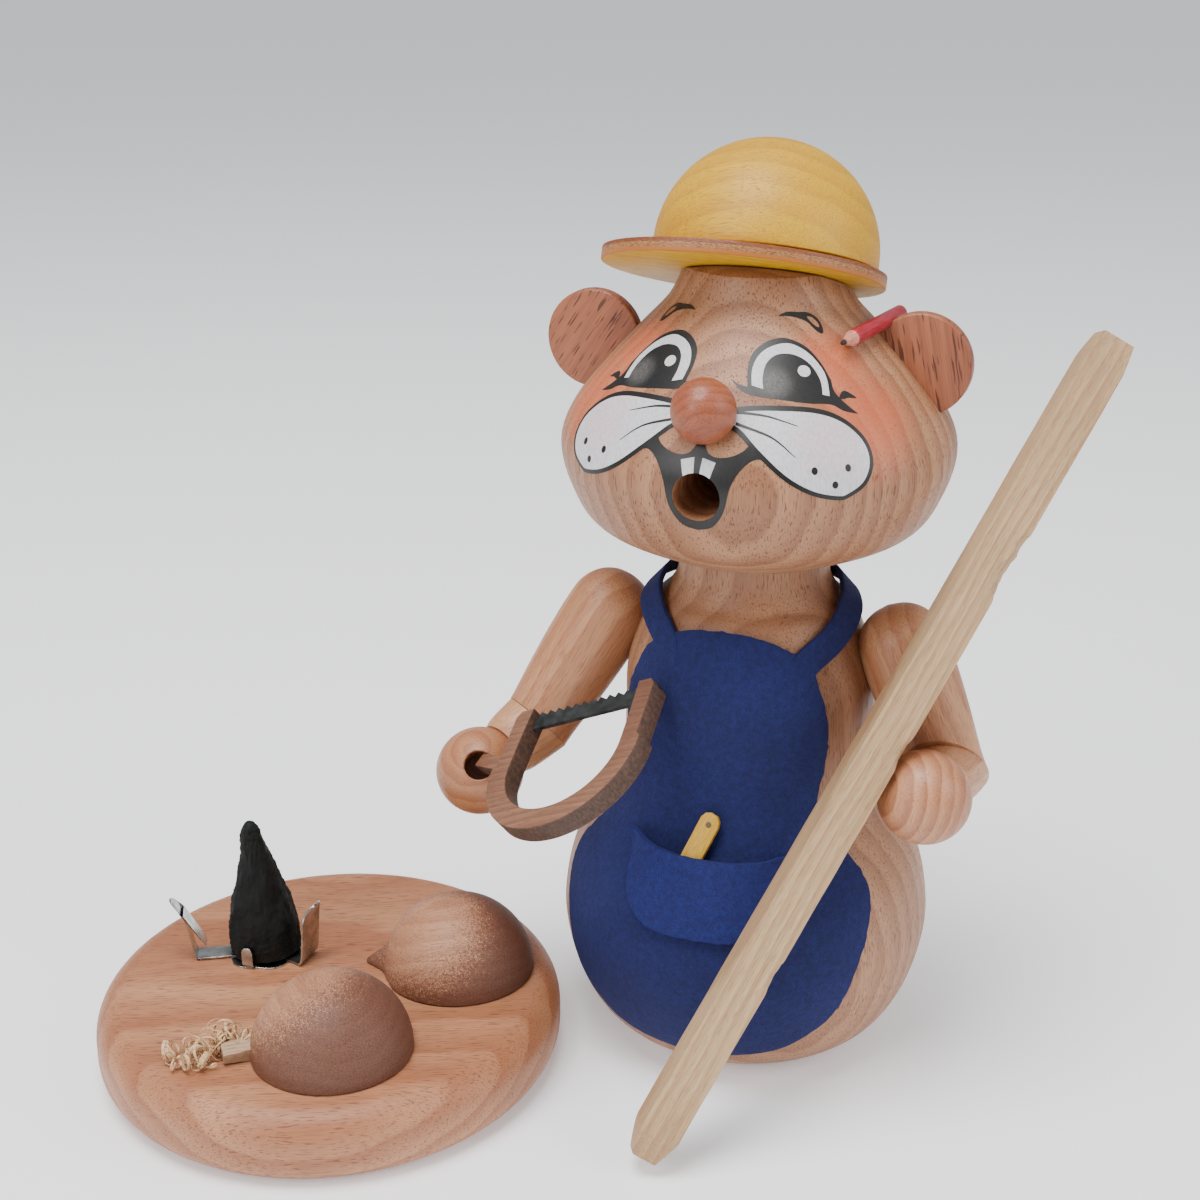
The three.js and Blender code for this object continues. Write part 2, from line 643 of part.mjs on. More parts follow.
// ---------------------------------------------------------------- head
// The outer line from the seat on the neck to the crown.
function headOutline() {
  const h = HEAD;
  const line = smooth([
    [h.seatRadius, 0],
    [h.radius * 0.82, h.wideHeight * 0.27],
    [h.radius * 0.945, h.wideHeight * 0.6],
    [h.radius, h.wideHeight],
    [h.radius * 0.935, h.wideHeight + (h.height - h.wideHeight) * 0.215],
    [h.radius * 0.77, h.wideHeight + (h.height - h.wideHeight) * 0.45],
    [h.radius * 0.6, h.wideHeight + (h.height - h.wideHeight) * 0.66],
    [h.radius * 0.46, h.wideHeight + (h.height - h.wideHeight) * 0.83],
    [h.crownRadius, h.height],
  ], 20);
  return [...line, [h.crownRadius * 0.8, h.height + 8]];
}

const HEAD_LINE = headOutline();

// A disc let into the head's side by a part of its radius.
function earBlank(side, grow) {
  const sunk = side < 0 ? EAR.sunkRight : EAR.sunkLeft;
  const reach = radiusAt(HEAD_LINE, EAR.height) + EAR.radius - sunk;
  const thickness = EAR.thickness + 2 * grow;
  return new THREE.CylinderGeometry(EAR.radius + grow, EAR.radius + grow, thickness, 26)
    .translate(side * reach, EAR.back, EAR.height);
}

function ear(side, name) {
  return named(`ear_${name}`, earBlank(side, 0), EAR_BEECH);
}

// The plane of the brim's underside, which the head's crown is sawn to.
function hatFrame() {
  const hat = new THREE.Group();
  hat.rotation.set(rad(HAT.tilt), rad(HAT.roll), 0, "YXZ");
  hat.position.set(0, 0, HAT.height);
  hat.updateMatrix();
  return hat;
}

function hatDowelRod(grow) {
  const foot = new THREE.Vector3(0, 0, -HAT_DOWEL.intoHead - grow);
  const top = new THREE.Vector3(0, 0, BRIM.thickness + GLUE_GAP + HAT_DOWEL.intoDome + grow);
  return rod(foot, top, HAT_DOWEL.radius + grow);
}

// The head: sat on the neck's tenon, hollow for the smoke, with the mouth bored from the front.
function head() {
  const socket = TENON.radius + GLUE_GAP;
  const deep = TENON.height + GLUE_GAP;
  const profile = [
    [socket, 0], ...HEAD_LINE, [0, HEAD.height + 8],
    [0, CHAMBER.top], [CHAMBER.radius * 0.75, CHAMBER.top],
    [CHAMBER.radius, CHAMBER.top - 3], [CHAMBER.radius, deep], [socket, deep], [socket, 0],
  ];
  const front = new THREE.Vector3(0, -HEAD.radius - 2, MOUTH.height);
  const inside = new THREE.Vector3(0, 0, MOUTH.height);
  const hat = hatFrame();
  const above = box(120, 120, 60).translate(0, 0, 30 - GLUE_GAP).applyMatrix4(hat.matrix);
  const shaped = cut(
    turned(profile, 40),
    above,
    rod(front, inside, MOUTH.radius, 20),
    noseBlank(GLUE_GAP),
    earBlank(-1, GLUE_GAP),
    earBlank(1, GLUE_GAP),
    hatDowelRod(GLUE_GAP).applyMatrix4(hat.matrix),
  );
  return named("head", shaped, BEECH);
}

// The nose's ball, let into the face.
function noseBlank(grow) {
  const reach = radiusAt(HEAD_LINE, NOSE.height) + NOSE.stand;
  return ball(NOSE.radius + grow).translate(0, -reach, NOSE.height);
}

// A short sharpened stick, tip forward, tucked in above the left ear.
function pencil() {
  const { radius, length, tipLength, swing, rise } = PENCIL;
  const reach = radiusAt(HEAD_LINE, PENCIL.height) + PENCIL.clear;
  const azimuth = rad(PENCIL.azimuth);
  const tip = new THREE.Vector3(
    reach * Math.sin(azimuth), -reach * Math.cos(azimuth), PENCIL.height,
  );
  const stick = turned([
    [0, 0], [0.35, 0.2], [radius, tipLength], [radius, length], [0, length],
  ], 16);
  const along = new THREE.Vector3(
    -Math.sin(rad(swing)) * Math.cos(rad(rise)),
    Math.cos(rad(swing)) * Math.cos(rad(rise)),
    Math.sin(rad(rise)),
  );
  return named("pencil", aim(stick, tip, along), PENCIL_RED);
}

// ---------------------------------------------------------------- hat
function hatBrim() {
  const oval = new THREE.Shape().absellipse(
    0, 0, BRIM.width / 2, BRIM.depth / 2, 0, 2 * Math.PI, false,
  );
  const brim = new THREE.ExtrudeGeometry(oval, {
    depth: BRIM.thickness, bevelEnabled: false, curveSegments: 28,
  }).translate(-BRIM.shift, 0, 0).rotateZ(rad(BRIM.heading));
  return named("hat_brim", cut(brim, hatDowelRod(GLUE_GAP)), PLYWOOD);
}

function hatDome() {
  const band = HAT.domeHeight - HAT.domeRadius;
  const profile = [[0, 0], [HAT.domeRadius, 0]];
  for (let angle = 0; angle < 90; angle += 10) {
    profile.push([HAT.domeRadius * Math.cos(rad(angle)), band + HAT.domeRadius * Math.sin(rad(angle))]);
  }
  profile.push([0, HAT.domeHeight]);
  const seat = BRIM.thickness + GLUE_GAP;
  const dome = turned(profile).translate(0, 0, seat);
  return named("hat_dome", cut(dome, hatDowelRod(GLUE_GAP)), HAT_YELLOW);
}

function hat() {
  const group = hatFrame();
  group.add(hatBrim(), hatDome(), named("hat_dowel", hatDowelRod(0), BEECH));
  return group;
}

// ---------------------------------------------------------------- assembly
// How far the turned oval plate reaches along X.
function plateReach() {
  const turn = rad(BASE_TURN + PLATE.slant);
  return Math.hypot((PLATE.length / 2) * Math.cos(turn), (PLATE.depth / 2) * Math.sin(turn));
}

function base() {
  const group = new THREE.Group();
  group.rotation.z = rad(BASE_TURN);
  group.add(
    basePlate(),
    foot("foot_right", -1),
    foot("foot_left", 1),
    coneHolder(),
    holderTack(),
    incenseCone(),
    shaving("shaving_curl_1", -37.5, -1, 4, false),
    shaving("shaving_curl_2", -29.5, 4, 3.2, true),
    woodChip(-35.6, -8.6),
  );
  return group;
}

function headGroup() {
  const group = new THREE.Group();
  group.position.z = BODY.height;
  group.rotation.z = rad(HEAD.turn);
  group.add(head(), named("nose", noseBlank(0), BROWN_BEECH), ear(-1, "right"), ear(1, "left"), pencil(), hat());
  return group;
}

function figure() {
  const group = new THREE.Group();
  group.rotation.z = rad(FIGURE.turn);
  group.position.set(plateReach() + STAND_OFF + BODY.bellyRadius, FIGURE.back, 0);
  group.add(
    torso(),
    ...arm(-1, "right"),
    ...arm(1, "left"),
    rightHand(sawTool()),
    leftHand(plankBlank(GLUE_GAP)),
    sawFrame(),
    sawBlade(),
    named("plank", plankBlank(0), PINE),
    apron(),
    apronPocket(),
    named("folding_rule", ruleBlank(0), RULE_YELLOW),
    headGroup(),
  );
  return group;
}

const smoker = new THREE.Group();
smoker.add(base(), figure());

export default smoker;
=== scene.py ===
import math
import random

import bmesh
import bpy
from mathutils import Matrix, Vector, noise
from mathutils.geometry import interpolate_bezier


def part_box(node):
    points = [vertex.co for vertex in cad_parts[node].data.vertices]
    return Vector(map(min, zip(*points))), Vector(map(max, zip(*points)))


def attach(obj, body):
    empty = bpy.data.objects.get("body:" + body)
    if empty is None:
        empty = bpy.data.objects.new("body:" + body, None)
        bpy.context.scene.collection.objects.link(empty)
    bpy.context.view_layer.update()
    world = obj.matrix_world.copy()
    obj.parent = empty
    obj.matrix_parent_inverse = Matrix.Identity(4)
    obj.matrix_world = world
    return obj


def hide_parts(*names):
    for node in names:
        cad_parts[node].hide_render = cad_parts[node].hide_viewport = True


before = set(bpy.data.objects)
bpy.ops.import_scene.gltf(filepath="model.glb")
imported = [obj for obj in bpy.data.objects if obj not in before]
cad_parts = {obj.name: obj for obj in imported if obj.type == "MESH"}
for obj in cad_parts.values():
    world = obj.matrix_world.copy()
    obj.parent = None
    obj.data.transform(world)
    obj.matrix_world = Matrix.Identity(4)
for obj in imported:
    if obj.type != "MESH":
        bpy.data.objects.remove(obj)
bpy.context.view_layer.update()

# ------------------------------------------------------------------ the table, the light and the camera
# A plain pale floor under soft studio light: a wide lamp overhead, a weaker one on each side and an even sky.
# The camera looks down at the smoker at 20 degrees.
MM = 0.001

floor_mesh = bpy.data.meshes.new("studio_floor")
floor_bm = bmesh.new()
bmesh.ops.create_grid(floor_bm, x_segments=1, y_segments=1, size=300)
bmesh.ops.translate(floor_bm, vec=(0, 0, -0.02 * MM), verts=floor_bm.verts)
floor_bm.to_mesh(floor_mesh)
floor_bm.free()
studio_floor = bpy.data.objects.new("studio_floor", floor_mesh)
bpy.context.scene.collection.objects.link(studio_floor)
floor_paint = bpy.data.materials.new("pale_floor")
floor_paint.use_nodes = True
floor_paint.node_tree.nodes["Principled BSDF"].inputs["Base Color"].default_value = (0.93, 0.93, 0.925, 1)
floor_paint.node_tree.nodes["Principled BSDF"].inputs["Roughness"].default_value = 0.8
floor_paint.node_tree.nodes["Principled BSDF"].inputs["Emission Color"].default_value = (0.9, 0.93, 1, 1)
floor_paint.node_tree.nodes["Principled BSDF"].inputs["Emission Strength"].default_value = 0.3
studio_floor.data.materials.append(floor_paint)

sky = bpy.data.worlds.new("even_sky")
sky.use_nodes = True
sky.node_tree.nodes["Background"].inputs["Color"].default_value = (0.93, 0.96, 1.0, 1)
sky.node_tree.nodes["Background"].inputs["Strength"].default_value = 0.5
bpy.context.scene.world = sky

for lamp_name, spot, width, power in (
    ("lamp_above", (-0.12, -0.18, 1.1), 0.7, 15),
    ("lamp_left", (-0.6, -0.6, 0.6), 0.5, 4.2),
    ("lamp_right", (0.8, -0.3, 0.5), 0.6, 3.4),
):
    lamp = bpy.data.lights.new(lamp_name, "AREA")
    lamp.shape = "DISK"
    lamp.size = width
    lamp.energy = power
    lamp_object = bpy.data.objects.new(lamp_name, lamp)
    lamp_object.location = spot
    toward = Vector((0.04, 0, 0.08)) - lamp_object.location
    lamp_object.rotation_euler = toward.to_track_quat("-Z", "Y").to_euler()
    bpy.context.scene.collection.objects.link(lamp_object)

camera = bpy.data.cameras.new("camera")
camera.lens = 57
camera.sensor_width = 36
camera.clip_start = 0.01
camera_object = bpy.data.objects.new("camera", camera)
camera_object.location = (54.5 * MM, -335.4 * MM, 218.5 * MM)
camera_object.rotation_euler = (math.radians(70), 0, 0)
bpy.context.scene.collection.objects.link(camera_object)
bpy.context.scene.camera = camera_object

# ------------------------------------------------------------------ base plate
# A nearly round plate of steamed beech with well rounded edges, sanded and thinly lacquered.
# Its grain runs from side to side, so the flecks lie along X.
PLATE_HALF = (48.8, 46.4)
PLATE_THICK = 15.0
PLATE_EDGE = 6.0
BASE_TURN = math.radians(54)  # the feet point this far round from the front
PLATE_SLANT = math.radians(33)  # the long way of the plate, counted from the feet's side axis


def turn_about(axis, degrees):
    return Matrix.Rotation(math.radians(degrees), 4, axis)


def shift(x, y, z):
    return Matrix.Translation((x, y, z))


def add_node(tree, kind, inputs=None, **settings):
    """A shader node with its settings; an input is a value or the socket that feeds it."""
    made = tree.nodes.new(kind)
    for key, value in settings.items():
        setattr(made, key, value)
    for key, value in (inputs or {}).items():
        if isinstance(value, bpy.types.NodeSocket):
            tree.links.new(value, made.inputs[key])
        else:
            made.inputs[key].default_value = value
    return made


def arithmetic(tree, operation, first, second=0.0, third=0.0):
    made = add_node(tree, "ShaderNodeMath", {0: first, 1: second, 2: third}, operation=operation)
    return made.outputs[0]


def stretched(tree, vector, scale):
    made = add_node(tree, "ShaderNodeVectorMath", {0: vector, 1: scale}, operation="MULTIPLY")
    return made.outputs[0]


def cloud(tree, vector, scale, detail=2.0, rough=0.5):
    """Noise over a stretched vector, from 0 to 1."""
    made = add_node(
        tree, "ShaderNodeTexNoise",
        {"Vector": stretched(tree, vector, scale), "Scale": 1.0, "Detail": detail, "Roughness": rough},
    )
    return made.outputs[0]


def ramp(tree, value, low, high, to_low=0.0, to_high=1.0):
    made = add_node(
        tree, "ShaderNodeMapRange", {0: value, 1: low, 2: high, 3: to_low, 4: to_high},
        interpolation_type="SMOOTHSTEP",
    )
    return made.outputs[0]


def mixed(tree, factor, first, second, blend="MIX"):
    made = add_node(
        tree, "ShaderNodeMix", {0: factor, 6: first, 7: second}, data_type="RGBA", blend_type=blend,
    )
    return made.outputs[2]


def pigment(red, green, blue):
    """A colour as seen, 0 to 255, deepened because lacquer and lamps wash it out."""
    linear = [((c / 255 + 0.055) / 1.055) ** 2.4 if c > 10 else c / 3295 for c in (red, green, blue)]
    return (*(0.82 * c ** 1.3 for c in linear), 1)


def make_wood_grain():
    """Growth rings, dark flecks, fine fibres and slow tone changes of a blank whose grain runs along Z, in mm."""
    group = bpy.data.node_groups.new("wood_grain", "ShaderNodeTree")
    for name, kind in (
        ("Blank", "NodeSocketVector"), ("Pith", "NodeSocketVector"), ("Ring Width", "NodeSocketFloat"),
        ("Fleck Size", "NodeSocketFloat"), ("Seed", "NodeSocketFloat"), ("Wander", "NodeSocketFloat"),
    ):
        group.interface.new_socket(name=name, in_out="INPUT", socket_type=kind)
    for name in ("Rings", "Flecks", "Fibres", "Tone"):
        group.interface.new_socket(name=name, in_out="OUTPUT", socket_type="NodeSocketFloat")
    inside = add_node(group, "NodeGroupInput").outputs
    seed = add_node(group, "ShaderNodeCombineXYZ", {0: inside["Seed"], 1: inside["Seed"], 2: inside["Seed"]})
    moved = add_node(
        group, "ShaderNodeVectorMath", {0: inside["Blank"], 1: stretched(group, seed.outputs[0], (37, 53, 71))},
        operation="ADD",
    ).outputs[0]
    warp = arithmetic(group, "MULTIPLY", cloud(group, moved, (0.07, 0.07, 0.02)), inside["Wander"])
    across = add_node(
        group, "ShaderNodeVectorMath", {0: inside["Blank"], 1: inside["Pith"]}, operation="SUBTRACT"
    ).outputs[0]
    reach = add_node(
        group, "ShaderNodeVectorMath", {0: stretched(group, across, (1, 1, 0.12))}, operation="LENGTH"
    ).outputs[1]
    depth = arithmetic(group, "ADD", reach, warp)
    phase = arithmetic(group, "DIVIDE", depth, inside["Ring Width"])
    year = arithmetic(group, "FRACT", phase)
    late = add_node(group, "ShaderNodeValToRGB", {0: year})
    late.color_ramp.elements[0].position = 0.15
    late.color_ramp.elements[0].color = (0, 0, 0, 1)
    late.color_ramp.elements[1].position = 0.88
    late.color_ramp.elements[1].color = (1, 1, 1, 1)
    late.color_ramp.elements.new(0.99).color = (0.05, 0.05, 0.05, 1)
    finer = add_node(
        group, "ShaderNodeVectorMath",
        {0: moved, 1: add_node(
            group, "ShaderNodeCombineXYZ",
            {0: inside["Fleck Size"], 1: inside["Fleck Size"], 2: inside["Fleck Size"]},
        ).outputs[0]},
        operation="DIVIDE",
    ).outputs[0]
    crowd = arithmetic(group, "MULTIPLY_ADD", cloud(group, moved, (0.12, 0.12, 0.05)), 0.12, -0.06)
    dashes = arithmetic(group, "ADD", cloud(group, finer, (3.6, 3.6, 0.3), 1.0, 0.4), crowd)
    flecks = ramp(group, dashes, 0.585, 0.68)
    fibres = cloud(group, moved, (4.2, 4.2, 0.11), 3.0, 0.65)
    tone = cloud(group, moved, (0.05, 0.05, 0.018), 2.0, 0.5)
    add_node(group, "NodeGroupOutput", {0: late.outputs[0], 1: flecks, 2: fibres, 3: tone})
    return group


wood_grain = make_wood_grain()


def wood(name, blank, pale, deep, ring, fleck, pith=(0, 60, 0), ring_width=3.4, rings=0.5, flecks=0.7,
         fleck_size=1.0, seed=1.0, wander=6.0, rough=0.5, coat=0.06, relief=0.35):
    """Lacquered or bare wood whose grain runs along the Z axis of blank, a placing matrix in mm."""
    made = bpy.data.materials.new(name)
    made.use_nodes = True
    tree = made.node_tree
    shader = tree.nodes["Principled BSDF"]
    place = add_node(tree, "ShaderNodeMapping", vector_type="TEXTURE")
    tree.links.new(add_node(tree, "ShaderNodeTexCoord").outputs["Object"], place.inputs["Vector"])
    place.inputs["Location"].default_value = blank.to_translation() * MM
    place.inputs["Rotation"].default_value = blank.to_euler()
    place.inputs["Scale"].default_value = (MM, MM, MM)
    grain = add_node(tree, "ShaderNodeGroup", node_tree=wood_grain)
    tree.links.new(place.outputs[0], grain.inputs["Blank"])
    grain.inputs["Pith"].default_value = pith
    grain.inputs["Ring Width"].default_value = ring_width
    grain.inputs["Fleck Size"].default_value = fleck_size
    grain.inputs["Seed"].default_value = seed
    grain.inputs["Wander"].default_value = wander
    colour = mixed(tree, ramp(tree, grain.outputs["Tone"], 0.3, 0.7), pale, deep)
    colour = mixed(tree, arithmetic(tree, "MULTIPLY", grain.outputs["Rings"], rings), colour, ring)
    colour = mixed(tree, arithmetic(tree, "MULTIPLY", grain.outputs["Flecks"], flecks), colour, fleck)
    streak = ramp(tree, grain.outputs["Fibres"], 0.3, 0.7, 0.8, 1.1)
    colour = mixed(tree, 1.0, colour, streak, "MULTIPLY")
    tree.links.new(colour, shader.inputs["Base Color"])
    sheen = arithmetic(tree, "MULTIPLY_ADD", grain.outputs["Flecks"], 0.18, rough)
    tree.links.new(sheen, shader.inputs["Roughness"])
    shader.inputs["Coat Weight"].default_value = coat
    shader.inputs["Coat Roughness"].default_value = 0.32
    sunk = arithmetic(tree, "MULTIPLY_ADD", grain.outputs["Flecks"], -0.8, grain.outputs["Fibres"])
    bump = add_node(tree, "ShaderNodeBump", {"Height": sunk, "Strength": relief, "Distance": 0.06 * MM})
    tree.links.new(bump.outputs[0], shader.inputs["Normal"])
    return made


def finish_piece(name, bm, place, material, body, nodes, sharp=38):
    """Closes a mesh made in mm, puts it in its place in metres and lets it ride on its body."""
    bmesh.ops.remove_doubles(bm, verts=bm.verts, dist=1e-4)
    bmesh.ops.recalc_face_normals(bm, faces=bm.faces)
    bmesh.ops.transform(bm, matrix=Matrix.Scale(MM, 4) @ place, verts=bm.verts)
    mesh = bpy.data.meshes.new(name)
    bm.to_mesh(mesh)
    bm.free()
    mesh.shade_smooth()
    mesh.set_sharp_from_angle(angle=math.radians(sharp))
    mesh.materials.append(material)
    made = bpy.data.objects.new(name, mesh)
    bpy.context.scene.collection.objects.link(made)
    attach(made, body)
    if nodes:
        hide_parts(*nodes)
    return made


base_place = Matrix.Rotation(BASE_TURN, 4, "Z")

plate_bm = bmesh.new()
bmesh.ops.create_circle(plate_bm, cap_ends=True, radius=1, segments=160)
bmesh.ops.scale(plate_bm, vec=(*PLATE_HALF, 1), verts=plate_bm.verts)
lifted = bmesh.ops.extrude_face_region(plate_bm, geom=plate_bm.faces[:])["geom"]
bmesh.ops.translate(plate_bm, vec=(0, 0, PLATE_THICK), verts=[v for v in lifted if isinstance(v, bmesh.types.BMVert)])
bmesh.ops.recalc_face_normals(plate_bm, faces=plate_bm.faces)
rim = [e for e in plate_bm.edges if abs(e.verts[0].co.z - e.verts[1].co.z) < 0.1]
bmesh.ops.bevel(
    plate_bm, geom=rim, offset=PLATE_EDGE, offset_type="OFFSET", segments=10, profile=0.5,
    affect="EDGES", material=-1, clamp_overlap=False,
)
plate_beech = wood(
    "plate_beech", turn_about("Z", 4) @ turn_about("Y", 90),
    pigment(214, 164, 128), pigment(200, 146, 110), pigment(178, 116, 80), pigment(132, 80, 56),
    pith=(64, 12, 0), ring_width=4.6, rings=0.62, flecks=0.6, fleck_size=0.95, seed=3,
)
finish_piece(
    "plate", plate_bm, base_place @ Matrix.Rotation(PLATE_SLANT, 4, "Z"), plate_beech,
    "base", ["base_plate"],
)

# ------------------------------------------------------------------ feet
# Two turned drops sawn in half along the axis and glued on, heels together and toes apart.
# Brown stain is sprayed on from the toe side in fine droplets, so the heel stays paler.
FOOT_ROUND = 15.5
FOOT_LONG = 34.5
FOOT_HIGH = 15.0
FOOT_SEAT = 15.3  # a glue line above the plate


def smooth_line(points, steps=8, closed=False):
    """A smooth line through a few points."""
    points = [Vector((*p, 0)) if len(p) == 2 else Vector(p) for p in points]
    count = len(points)
    line = []
    for i in range(count if closed else count - 1):
        if closed:
            before, a, b, after = (points[(i + k) % count] for k in (-1, 0, 1, 2))
        else:
            before, a = points[max(i - 1, 0)], points[i]
            b, after = points[i + 1], points[min(i + 2, count - 1)]
        line += interpolate_bezier(a, a + (b - before) / 6, b - (after - a) / 6, b, steps + 1)[:-1]
    return line if closed else [*line, points[-1]]


def spin_profile(bm, profile, steps=112):
    """Turns a line of (radius, height) pairs once round the Z axis."""
    verts = [bm.verts.new((p[0], 0, p[1])) for p in profile]
    edges = [bm.edges.new(pair) for pair in zip(verts, verts[1:])]
    bmesh.ops.spin(
        bm, geom=verts + edges, cent=(0, 0, 0), axis=(0, 0, 1), angle=2 * math.pi, steps=steps, use_merge=True,
    )
    bmesh.ops.remove_doubles(bm, verts=bm.verts, dist=1e-4)


def saw_off(bm, point, normal):
    """Cuts away what lies beyond a plane and closes the cut."""
    bmesh.ops.bisect_plane(
        bm, geom=[*bm.verts, *bm.edges, *bm.faces], plane_co=point, plane_no=normal, clear_outer=True,
    )
    open_edges = [e for e in bm.edges if e.is_boundary]
    bmesh.ops.holes_fill(bm, edges=open_edges, sides=0)


def foot_stain(side, place):
    made = wood(
        "foot_stain_right" if side < 0 else "foot_stain_left", place @ turn_about("X", 80),
        pigment(214, 170, 138), pigment(200, 150, 118), pigment(176, 120, 92), pigment(150, 98, 74),
        pith=(0, 30, 0), ring_width=3, rings=0.4, flecks=0.3, seed=5 + side, rough=0.6, coat=0.0,
    )
    tree = made.node_tree
    shader = tree.nodes["Principled BSDF"]
    bare = shader.inputs["Base Color"].links[0].from_socket
    spot = tree.nodes["Mapping"].outputs[0]
    droplets = cloud(tree, spot, (4.2, 4.2, 4.2), 1.0, 0.6)
    coarse = cloud(tree, spot, (1.6, 1.6, 1.6), 1.0, 0.5)
    where = add_node(
        tree, "ShaderNodeVectorMath", {0: add_node(tree, "ShaderNodeTexCoord").outputs["Object"],
                                       1: (place @ Vector((-9, 9, 17))) * MM}, operation="DISTANCE",
    ).outputs[1]
    cover = ramp(tree, where, 5 * MM, 31 * MM, 0.36, 0.86)
    speckle_noise = arithmetic(tree, "ADD", arithmetic(tree, "MULTIPLY", droplets, 0.75), arithmetic(tree, "MULTIPLY", coarse, 0.25))
    drops = ramp(tree, arithmetic(tree, "ADD", speckle_noise, arithmetic(tree, "SUBTRACT", cover, 0.5)), 0.44, 0.6)
    tint = mixed(tree, cover, pigment(158, 106, 84), pigment(116, 70, 56))
    tint = mixed(tree, ramp(tree, droplets, 0.42, 0.6), pigment(92, 52, 40), tint)
    colour = mixed(tree, arithmetic(tree, "MULTIPLY", drops, 0.85), bare, tint)
    tree.links.new(colour, shader.inputs["Base Color"])
    return made


for side, side_name in ((-1, "right"), (1, "left")):
    foot_bm = bmesh.new()
    toe = FOOT_LONG - FOOT_ROUND
    flank = [(0, 0), (0.9, 0.5), (3.7, 4.0), (7.0, 5.6)]
    arc = [
        (FOOT_ROUND * math.sin(math.radians(a)), toe - FOOT_ROUND * math.cos(math.radians(a)))
        for a in range(42, 181, 6)
    ]
    spin_profile(foot_bm, [*smooth_line(flank, 4)[:-1], *arc[:-1], (0, FOOT_LONG)], 96)
    bmesh.ops.scale(foot_bm, vec=(1, FOOT_HIGH / FOOT_ROUND, 1), verts=foot_bm.verts)
    bmesh.ops.transform(foot_bm, matrix=turn_about("X", 90) @ shift(0, 0, -toe), verts=foot_bm.verts)
    saw_off(foot_bm, (0, 0, 0), (0, 0, -1))
    place = base_place @ shift(side * 18.5, -18, FOOT_SEAT) @ turn_about("Z", 30 * side)
    finish_piece(
        f"foot_{side_name}_turned", foot_bm, place, foot_stain(side, place),
        "base", [f"foot_{side_name}"], sharp=50,
    )

# ------------------------------------------------------------------ cone holder and its tack
# Stamped from one piece of thin tinplate: a dish, three prongs that stand round the cone, and three
# spring arms that grip the figure's bore. A tack through the dish pins it to the plate.
HOLDER_SPOT = base_place @ shift(0, 18.5, FOOT_SEAT)
SHEET = 0.4
DISH = 7.8


def tinplate_finish():
    made = bpy.data.materials.new("bright_tinplate")
    made.use_nodes = True
    tree = made.node_tree
    shader = tree.nodes["Principled BSDF"]
    spot = add_node(tree, "ShaderNodeTexCoord").outputs["Object"]
    cloudy = cloud(tree, spot, (260, 260, 260), 3.0)
    lines = cloud(tree, spot, (400, 9000, 400), 2.0)
    tarnish = ramp(tree, cloudy, 0.35, 0.75)
    tree.links.new(
        mixed(tree, tarnish, pigment(214, 215, 213), pigment(168, 166, 160)), shader.inputs["Base Color"]
    )
    shader.inputs["Metallic"].default_value = 1.0
    tree.links.new(ramp(tree, cloudy, 0.3, 0.8, 0.16, 0.38), shader.inputs["Roughness"])
    bump = add_node(tree, "ShaderNodeBump", {"Height": lines, "Strength": 0.12, "Distance": 0.02 * MM})
    tree.links.new(bump.outputs[0], shader.inputs["Normal"])
    return made


tinplate = tinplate_finish()


def bent_strip(bm, stations, degrees):
    """A strip through stations of (reach, height, half width), turned round the dish."""
    rows = []
    for reach, height, half in stations:
        rows.append([bm.verts.new((reach, -half, height)), bm.verts.new((reach, half, height))])
    faces = [bm.faces.new((a[0], a[1], b[1], b[0])) for a, b in zip(rows, rows[1:])]
    verts = [v for row in rows for v in row]
    bmesh.ops.rotate(bm, cent=(0, 0, 0), matrix=turn_about("Z", degrees), verts=verts)
    return faces


holder_bm = bmesh.new()
bmesh.ops.create_circle(holder_bm, cap_ends=True, radius=DISH, segments=72)
dished = [v for v in holder_bm.verts]
for v in dished:
    wave = math.cos(6 * math.atan2(v.co.y, v.co.x))
    v.co *= 1 + 0.05 * wave
hub = holder_bm.faces[:]
inset = bmesh.ops.inset_region(holder_bm, faces=hub, thickness=1.1, use_even_offset=True)
bmesh.ops.translate(holder_bm, vec=(0, 0, -0.25), verts=[v for f in hub for v in f.verts])
bmesh.ops.translate(holder_bm, vec=(0, 0, 0.3), verts=holder_bm.verts)
left_arm = smooth_line([(6, 0.3, 2.1), (10, 0.3, 2.2), (13.6, 0.3, 2.2)], 3)
bent_strip(holder_bm, [
    *left_arm, (14.2, 0.5, 2.2), (14.45, 1.1, 2.1), (14.8, 3.2, 1.8), (15.6, 7.4, 1.5), (15.9, 8.8, 1.7),
    (16.4, 10.2, 2.3), (17.3, 11.8, 2.1), (18.1, 13.0, 1.1), (18.4, 13.4, 0.3),
], 135)
bent_strip(holder_bm, [
    (6, 0.3, 2.4), (8.6, 0.3, 2.8), (9.6, 0.35, 3.2), (10.1, 0.8, 3.3), (10.4, 2, 3.3), (11, 9.6, 3.3), (11.3, 11.2, 3.1),
    (11.8, 12.4, 2.5), (12.4, 13.2, 1.6), (12.8, 13.5, 0.7),
], 284)
bent_strip(holder_bm, [
    (6, 0.3, 2.1), (10.2, 0.3, 2.4), (10.8, 0.5, 2.5), (11.1, 1.2, 2.5), (12.4, 6.5, 2.5), (13.4, 11, 2.3),
    (13.8, 12.4, 1.6), (14, 13, 0.7),
], 47)
for degrees in (79, 199, 319):
    bent_strip(holder_bm, [
        (6, 0.3, 1.2), (7.5, 0.3, 1.2), (7.95, 0.45, 1.2), (8.15, 0.9, 1.2), (8.25, 3.6, 1.2), (8.2, 4.3, 0.9),
        (8.1, 4.6, 0.4),
    ], degrees)
bmesh.ops.recalc_face_normals(holder_bm, faces=holder_bm.faces)
up_faces = [f for f in holder_bm.faces if f.normal.z < -0.5]
bmesh.ops.reverse_faces(holder_bm, faces=up_faces)
